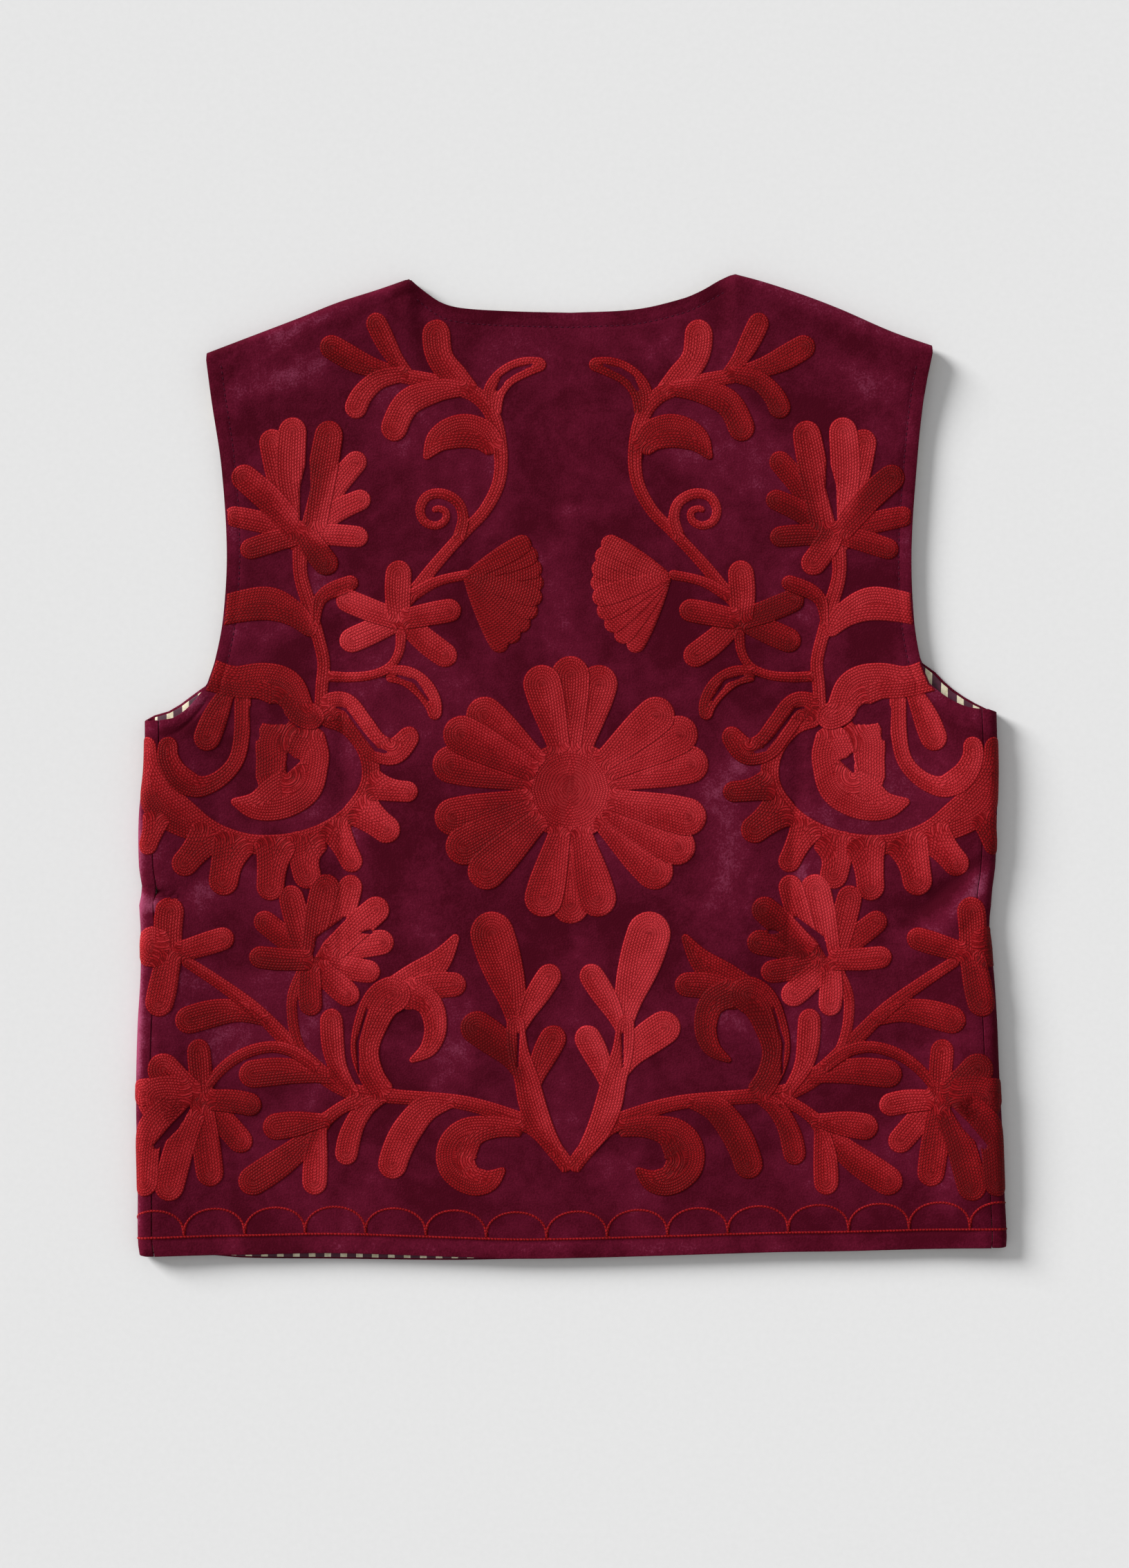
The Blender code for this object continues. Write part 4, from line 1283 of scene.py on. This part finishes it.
def silk_velvet(tree, shader, settings):
    """Velvet: dark where one looks into the pile, with a pink bloom where it turns away, lighter
    patches where the nap has been brushed, and painted highlights and painted shade on creases, seams,
    shoulders and side rolls."""
    nap = add_node(tree, "ShaderNodeAttribute", attribute_name="nap").outputs["Fac"]
    # Pile tufts about 1.1 mm across, coarser than real ones so that they show.
    tufts = noise(tree, 900.0, 2.0, 0.7)
    broad = scaled(tree, noise(tree, 17.0, 4.0, 0.55, 0.6), 1.6, -0.61)
    fine = scaled(tree, noise(tree, 120.0, 3.0, 0.6), 0.55, -0.275)
    grain = scaled(tree, tufts, 0.8, -0.4)
    # The nap attribute also carries painted highlights and painted shade, which push the colour
    # towards the light end and the deep end.
    colour = ramp(tree, added(tree, broad, fine, scaled(tree, nap, 0.5, grain)), [
        (0.0, linear(settings.velvet_deep_and_painted_shade)),
        (1.0, linear(settings.velvet_brushed_and_painted_highlight)),
        (0.45, linear(settings.velvet_middle)),
    ])
    finish_shader(tree, shader, colour, tufts, 0.5, 0.0006, Roughness=0.86,
                  Specular_IOR_Level=0.04, Sheen_Weight=0.25, Sheen_Roughness=0.2,
                  Sheen_Tint=linear(settings.velvet_bloom))


def chain_stitch(tree, shader, settings):
    """Thread in rows of chain stitch: painted highlights along each loop, painted shade in the pit
    where the needle went down and between the rows, and painted sheen by the tone attribute, which
    follows how the thread lies to the light."""
    run = parts_of(tree, add_node(tree, "ShaderNodeUVMap", uv_map="stitches").outputs["UV"])
    tone = add_node(tree, "ShaderNodeAttribute", attribute_name="tone").outputs["Fac"]
    loose = scaled(tree, noise(tree, 260.0, 2.0), 0.9, -0.45)
    rows = maths(tree, "DIVIDE", run["Y"], settings.row_width * MM)
    in_row = maths(tree, "FRACT", rows)
    # Each row starts at another place along the stitch.
    offset = scaled(tree, maths(tree, "FLOOR", rows), 0.37)
    stitches = maths(tree, "DIVIDE", run["X"], STITCH_LENGTH * MM)
    # A loop's two legs slant out from its root, so the pattern leans with the place in the row.
    off_centre = maths(tree, "ABSOLUTE", maths(tree, "SUBTRACT", in_row, 0.5))
    slanted = added(tree, stitches, offset, scaled(tree, off_centre, 0.9), loose)
    in_stitch = maths(tree, "FRACT", slanted)
    leg = maths(tree, "POWER", maths(tree, "SINE", scaled(tree, in_stitch, np.pi)), 0.6)
    ridge = maths(tree, "POWER", maths(tree, "SINE", scaled(tree, in_row, np.pi)), 0.55)
    thread = maths(tree, "MULTIPLY", leg, ridge)
    fibres = noise(tree, 1100.0, 2.0, 0.7)
    painted_sheen = scaled(tree, tone, 0.42, 0.34)
    worn = scaled(tree, noise(tree, 70.0, 2.0), 0.4, -0.2)
    grain = scaled(tree, fibres, 0.9, -0.45)
    # Colour: painted sheen, with painted highlights on the loops and painted shade between them, and
    # random wear and fibres.
    colour = ramp(tree, added(tree, painted_sheen, worn, grain, scaled(tree, thread, 0.5, -0.22)), [
        (0.0, linear(settings.thread_painted_shade)),
        (1.0, linear(settings.thread_painted_highlight)),
        (0.42, linear(settings.thread_middle)),
    ])
    finish_shader(tree, shader, colour, scaled(tree, fibres, 0.35, thread), 0.7, 0.0005,
                  Roughness=0.62, Specular_IOR_Level=0.08)


def striped_lining(tree, shader, settings):
    """Cotton woven in cream and plum stripes, with a fine rib along the stripe."""
    place = parts_of(tree, add_node(tree, "ShaderNodeTexCoord").outputs["Object"])
    moved = scaled(tree, noise(tree, 30.0, 2.0), 0.0016, place["X"])
    started = added(tree, moved, STRIPE_START * MM)
    repeat = maths(tree, "FRACT", maths(tree, "DIVIDE", started, settings.stripe * MM))
    cream = maths(tree, "LESS_THAN", repeat, CREAM_SHARE)
    warp = maths(tree, "SINE", scaled(tree, place["X"], 2 * np.pi / (YARN * MM)))
    weft = maths(tree, "SINE", scaled(tree, place["Y"], np.pi / (YARN * MM)))
    weave = maths(tree, "MULTIPLY", warp, weft)
    value = scaled(tree, weave, 0.08, noise(tree, 400.0, 3.0))
    light = ramp(tree, value, [(0.3, linear("#C8BE9C")), (0.7, linear(settings.stripe_cream))])
    dark = ramp(tree, value, [(0.3, linear("#3A0A20")), (0.7, linear(settings.stripe_plum))])
    mixed = add_node(tree, "ShaderNodeMix", {"Factor": cream, 6: dark, 7: light}, data_type="RGBA")
    finish_shader(tree, shader, mixed.outputs[2], weave, 0.25, 0.0002, Roughness=0.6,
                  Sheen_Weight=0.03)


def plum_thread(tree, shader, settings):
    """Twisted sewing thread, a little glossier than the velvet."""
    shades = [(0.3, linear("#34081A")), (0.7, linear("#50102A"))]
    colour = ramp(tree, noise(tree, 1400.0, 1.0), shades)
    finish_shader(tree, shader, colour, Roughness=0.6, Specular_IOR_Level=0.1)


def paper_floor(tree, shader, settings):
    """Matt background paper with the faintest tooth."""
    shades = [(0.2, linear("#E4E4E4")), (0.8, linear("#E7E7E7"))]
    colour = ramp(tree, noise(tree, 300.0, 2.0), shades)
    finish_shader(tree, shader, colour, Roughness=0.95, Specular_IOR_Level=0.05)


FINISHES = {
    "silk_velvet": silk_velvet,
    "chain_stitch": chain_stitch,
    "striped_lining": striped_lining,
    "plum_thread": plum_thread,
    "paper_floor": paper_floor,
}


def material(name, settings):
    """The named finish, made once."""
    made = bpy.data.materials.get(name)
    if made is None:
        made = bpy.data.materials.new(name)
        made.use_nodes = True
        FINISHES[name](made.node_tree, made.node_tree.nodes["Principled BSDF"], settings)
    return made


def stitched_lines():
    """The lines of topstitching, round the armholes and the neck."""
    lines = []
    for side in SIDE_NAMES:
        height = np.arange(TURN_HEIGHT - STITCH_ENDS[0], TIP_HEIGHT - STITCH_ENDS[1], STITCH_STEP)
        out = along(BACK_ARMHOLE, height, side) - STITCH_INSET
        lines.append(np.stack([sign(side) * out, height], axis=-1))
    end = NECK_POINT - STITCH_ENDS[0]
    x = np.arange(-end, end, STITCH_STEP)
    lines.append(np.stack([x, top_edge(x) - NECK_STITCH_INSET], axis=-1))
    return lines


def topstitching(settings):
    """Stitches round the armholes and the neck, each lying in the groove it pulls."""
    mesh = bmesh.new()
    length = settings.topstitch
    for line in stitched_lines():
        for at in np.arange(0, run_along(line)[-1] - length, length * STITCH_REPEAT):
            ends = place_at(line, np.array([at, at + length]))
            middle = (ends[0] + ends[1]) / 2
            point, normal = ground(middle[:1], middle[1:])
            heading = Vector((*(ends[1] - ends[0]), 0)).normalized()
            up = Vector(normal[0])
            over = heading.cross(up).normalized()
            turn = Matrix((heading, over, up)).transposed().to_4x4()
            sizes = (length / 2 * MM, STITCH_HALF_WIDTH * MM, STITCH_HALF_HEIGHT * MM, 1)
            spot = Matrix.Translation(Vector(placed(point[0] + normal[0] * STITCH_RISE)))
            form = spot @ turn @ Matrix.Diagonal(sizes)
            bmesh.ops.create_icosphere(mesh, subdivisions=1, radius=1, matrix=form)
    bmesh.ops.recalc_face_normals(mesh, faces=mesh.faces)
    piece = new_piece("topstitching", mesh, [material("plum_thread", settings)])
    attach(piece, BODY)


def fit(piece, node):
    """Puts a cloth in the place of its plain solid."""
    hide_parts(node)
    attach(piece, BODY)


def build_back(settings):
    finishes = [material("silk_velvet", settings), material("striped_lining", settings)]
    piece = cloth("back_velvet", *back_grid(), finishes, settings.velvet_wall)
    fit(piece, "back")


def build_front(side, settings):
    finishes = [material("silk_velvet", settings)]
    wall = settings.velvet_wall
    piece = cloth(side + "_front_velvet", *front_grid(side), finishes, wall, face_down=True)
    fit(piece, side + "_front")


def build_lining(side, settings):
    finishes = [material("striped_lining", settings)]
    grid = front_grid(side, lined=True, settings=settings)
    piece = cloth(side + "_lining_stripes", *grid, finishes, settings.lining_wall)
    fit(piece, side + "_front_lining")


# The stage, in metres and degrees
FLOOR_HALF_SIDE = 3.0
FLOOR_GAP = 0.0003
KEY_SPREAD = 24  # the sun's breadth, which softens the shadows
KEY_WAY = (1.0, -0.66, -0.50)  # the light falls from the upper left
CAMERA_OVER = (-0.0040, -0.0097)
SENSOR_HEIGHT = 36.0
CLIP_END = 20.0

# What each front and its lining were cut to: sides in metres, areas in square metres.
Cut = namedtuple("Cut", "side front front_area lining lining_area")


class WaistcoatSettings(bpy.types.PropertyGroup):
    velvet_wall: bpy.props.FloatProperty(
        name="Velvet wall", description="Thickness of the velvet with its turnings, in mm",
        default=2.0, min=0.5)
    lining_wall: bpy.props.FloatProperty(
        name="Lining wall", description="Thickness of the lining, in mm", default=1.0, min=0.3)
    pad_height: bpy.props.FloatProperty(
        name="Embroidery height", description="How far the chain stitch stands over the velvet, in mm",
        default=0.45, min=0.1)
    row_width: bpy.props.FloatProperty(
        name="Stitch row", description="Width of one row of chain stitch, in mm",
        default=ROW_WIDTH, min=0.5)
    topstitch: bpy.props.FloatProperty(
        name="Topstitch", description="Length of one topstitch, in mm", default=2.4, min=1.0)
    stripe: bpy.props.FloatProperty(
        name="Stripe repeat", description="Repeat of the lining's stripes, in mm",
        default=9.2, min=2.0)
    # The deep velvet colour is also the painted shade of crease lines, seams and the right side roll.
    velvet_deep_and_painted_shade: bpy.props.StringProperty(
        name="Velvet, deep", description="Colour into the pile, sRGB hex", default="#430516")
    velvet_middle: bpy.props.StringProperty(
        name="Velvet", description="Velvet colour, sRGB hex", default="#5D1027")
    # The brushed velvet colour is also the painted highlight and sheen of creases, shoulder rolls and
    # the left side roll.
    velvet_brushed_and_painted_highlight: bpy.props.StringProperty(
        name="Velvet, brushed", description="Colour of brushed nap, sRGB hex", default="#8E3E5A")
    velvet_bloom: bpy.props.StringProperty(
        name="Velvet bloom", description="Sheen where the velvet turns away, sRGB hex",
        default="#C87AA0")
    # The shade colour is painted shade between the stitches.
    thread_painted_shade: bpy.props.StringProperty(
        name="Thread, shade", description="Thread colour between stitches, sRGB hex",
        default="#560206")
    thread_middle: bpy.props.StringProperty(
        name="Thread", description="Thread colour, sRGB hex", default="#880B12")
    # The lit colour is a painted highlight along the loops and on thread that lies towards the light.
    thread_painted_highlight: bpy.props.StringProperty(
        name="Thread, lit", description="Thread colour along a loop, sRGB hex", default="#C0323A")
    stripe_cream: bpy.props.StringProperty(
        name="Cream stripe", description="Light stripe of the lining, sRGB hex", default="#F0E8CC")
    stripe_plum: bpy.props.StringProperty(
        name="Plum stripe", description="Dark stripe of the lining, sRGB hex", default="#561232")


class StageSettings(bpy.types.PropertyGroup):
    camera_height: bpy.props.FloatProperty(
        name="Camera height", description="Height of the camera over the floor",
        default=2.158, unit="LENGTH")
    camera_lens: bpy.props.FloatProperty(
        name="Lens", description="Focal length in mm", default=85.0)
    sun: bpy.props.FloatProperty(
        name="Key light", description="Strength of the soft key light", default=4.7)
    sky: bpy.props.FloatProperty(
        name="Fill light", description="Strength of the light all round", default=0.43)


class WAISTCOAT_OT_back(bpy.types.Operator):
    """Cut the back and lay it over the fronts"""

    bl_idname = "waistcoat.back"
    bl_label = "Back"

    def execute(self, context):
        build_back(context.scene.waistcoat)
        return {"FINISHED"}


class WAISTCOAT_OT_fronts(bpy.types.Operator):
    """Cut both fronts, flat below and folded round the sides"""

    bl_idname = "waistcoat.fronts"
    bl_label = "Fronts"

    def execute(self, context):
        for side in SIDE_NAMES:
            build_front(side, context.scene.waistcoat)
        return {"FINISHED"}


class WAISTCOAT_OT_linings(bpy.types.Operator):
    """Lay the striped lining on both fronts"""

    bl_idname = "waistcoat.linings"
    bl_label = "Linings"

    def execute(self, context):
        for side in SIDE_NAMES:
            build_lining(side, context.scene.waistcoat)
        return {"FINISHED"}


class WAISTCOAT_OT_topstitching(bpy.types.Operator):
    """Topstitch the armholes and the neck"""

    bl_idname = "waistcoat.topstitching"
    bl_label = "Topstitching"

    def execute(self, context):
        topstitching(context.scene.waistcoat)
        return {"FINISHED"}


class WAISTCOAT_OT_hem(bpy.types.Operator):
    """Work the hem's chain line and scallops"""

    bl_idname = "waistcoat.hem"
    bl_label = "Hem scallops"

    def execute(self, context):
        embroider("embroidery_hem", hem_shapes(), [], context.scene.waistcoat)
        return {"FINISHED"}


class WAISTCOAT_OT_skirt(bpy.types.Operator):
    """Work the scrolls and flowers below the waist"""

    bl_idname = "waistcoat.skirt"
    bl_label = "Skirt embroidery"

    def execute(self, context):
        settings = context.scene.waistcoat
        embroider_both("embroidery_base_scrolls", BASE_SCROLLS, BASE_SLITS, settings)
        embroider_both("embroidery_side_flowers", SIDE_FLOWERS, SIDE_SLITS, settings)
        return {"FINISHED"}


class WAISTCOAT_OT_centre(bpy.types.Operator):
    """Work the lobed flower in the middle of the back"""

    bl_idname = "waistcoat.centre"
    bl_label = "Central flower"

    def execute(self, context):
        embroider("embroidery_central_flower", central_flower(), [], context.scene.waistcoat)
        return {"FINISHED"}


class WAISTCOAT_OT_sides(bpy.types.Operator):
    """Work the slit flowers and the fringed crescents"""

    bl_idname = "waistcoat.sides"
    bl_label = "Side embroidery"

    def execute(self, context):
        settings = context.scene.waistcoat
        embroider_both("embroidery_slit_flowers", SLIT_FLOWERS, SLIT_FLOWER_SLITS, settings)
        embroider_both("embroidery_crescents", CRESCENTS, CRESCENT_SLITS, settings)
        return {"FINISHED"}


class WAISTCOAT_OT_chest(bpy.types.Operator):
    """Work the scrolls, fans and sprays of the shoulders"""

    bl_idname = "waistcoat.chest"
    bl_label = "Chest embroidery"

    def execute(self, context):
        settings = context.scene.waistcoat
        embroider_both("embroidery_chest_scrolls", CHEST_SCROLLS, CHEST_SLITS, settings)
        embroider_both("embroidery_fans", fan(), [], settings, FAN_ASIDE)
        embroider_both("embroidery_top_sprays", TOP_SPRAYS, TOP_SLITS, settings)
        return {"FINISHED"}


class WAISTCOAT_OT_cuts(bpy.types.Operator):
    """A last step that does nothing and finishes at once"""

    bl_idname = "waistcoat.cuts"
    bl_label = "Cuts"

    def execute(self, context):
        return {"FINISHED"}


class WAISTCOAT_OT_stage(bpy.types.Operator):
    """Set up the floor, the lights and the camera"""

    bl_idname = "waistcoat.stage"
    bl_label = "Stage"

    def execute(self, context):
        scene = context.scene
        mesh = bmesh.new()
        bmesh.ops.create_grid(mesh, x_segments=1, y_segments=1, size=FLOOR_HALF_SIDE)
        bmesh.ops.translate(mesh, verts=mesh.verts, vec=(0, 0, -FLOOR_GAP))
        paper = [material("paper_floor", scene.waistcoat)]
        floor = new_piece("floor", mesh, paper, smooth_faces=False)
        sun = bpy.data.lights.new("key", "SUN")
        sun.energy = scene.stage.sun
        sun.angle = radians(KEY_SPREAD)
        key = bpy.data.objects.new("key", sun)
        key.rotation_euler = Vector(KEY_WAY).to_track_quat("-Z", "Y").to_euler()
        scene.collection.objects.link(key)
        world = bpy.data.worlds.new("studio")
        world.use_nodes = True
        sky = world.node_tree.nodes["Background"].inputs
        sky["Color"].default_value = (1, 1, 1, 1)
        sky["Strength"].default_value = scene.stage.sky
        scene.world = world
        scene.view_settings.view_transform = "Standard"
        lens = bpy.data.cameras.new("camera")
        lens.lens = scene.stage.camera_lens
        lens.sensor_fit = "VERTICAL"
        lens.sensor_height = SENSOR_HEIGHT
        lens.clip_end = CLIP_END
        camera = bpy.data.objects.new("camera", lens)
        camera.location = (*CAMERA_OVER, scene.stage.camera_height)
        scene.collection.objects.link(camera)
        scene.camera = camera
        return {"FINISHED"}


STEPS = (
    WAISTCOAT_OT_stage,
    WAISTCOAT_OT_back,
    WAISTCOAT_OT_fronts,
    WAISTCOAT_OT_linings,
    WAISTCOAT_OT_topstitching,
    WAISTCOAT_OT_hem,
    WAISTCOAT_OT_skirt,
    WAISTCOAT_OT_centre,
    WAISTCOAT_OT_sides,
    WAISTCOAT_OT_chest,
    WAISTCOAT_OT_cuts,
)


class WAISTCOAT_PT_panel(bpy.types.Panel):
    """Lists the waistcoat's settings and steps"""

    bl_idname = "WAISTCOAT_PT_panel"
    bl_label = "Waistcoat"
    bl_space_type = "VIEW_3D"
    bl_region_type = "UI"
    bl_category = "Waistcoat"

    def draw(self, context):
        for settings in (context.scene.waistcoat, context.scene.stage):
            for name in settings.__annotations__:
                self.layout.prop(settings, name)
        for step in STEPS:
            self.layout.operator(step.bl_idname)


CLASSES = (WaistcoatSettings, StageSettings, *STEPS, WAISTCOAT_PT_panel)


def register():
    for each in CLASSES:
        bpy.utils.register_class(each)
    bpy.types.Scene.waistcoat = bpy.props.PointerProperty(type=WaistcoatSettings)
    bpy.types.Scene.stage = bpy.props.PointerProperty(type=StageSettings)


def unregister():
    del bpy.types.Scene.waistcoat
    del bpy.types.Scene.stage
    for each in reversed(CLASSES):
        bpy.utils.unregister_class(each)


def main():
    register()
    for step in STEPS:
        group, name = step.bl_idname.split(".")
        getattr(getattr(bpy.ops, group), name)()


if __name__ == "__main__":
    main()
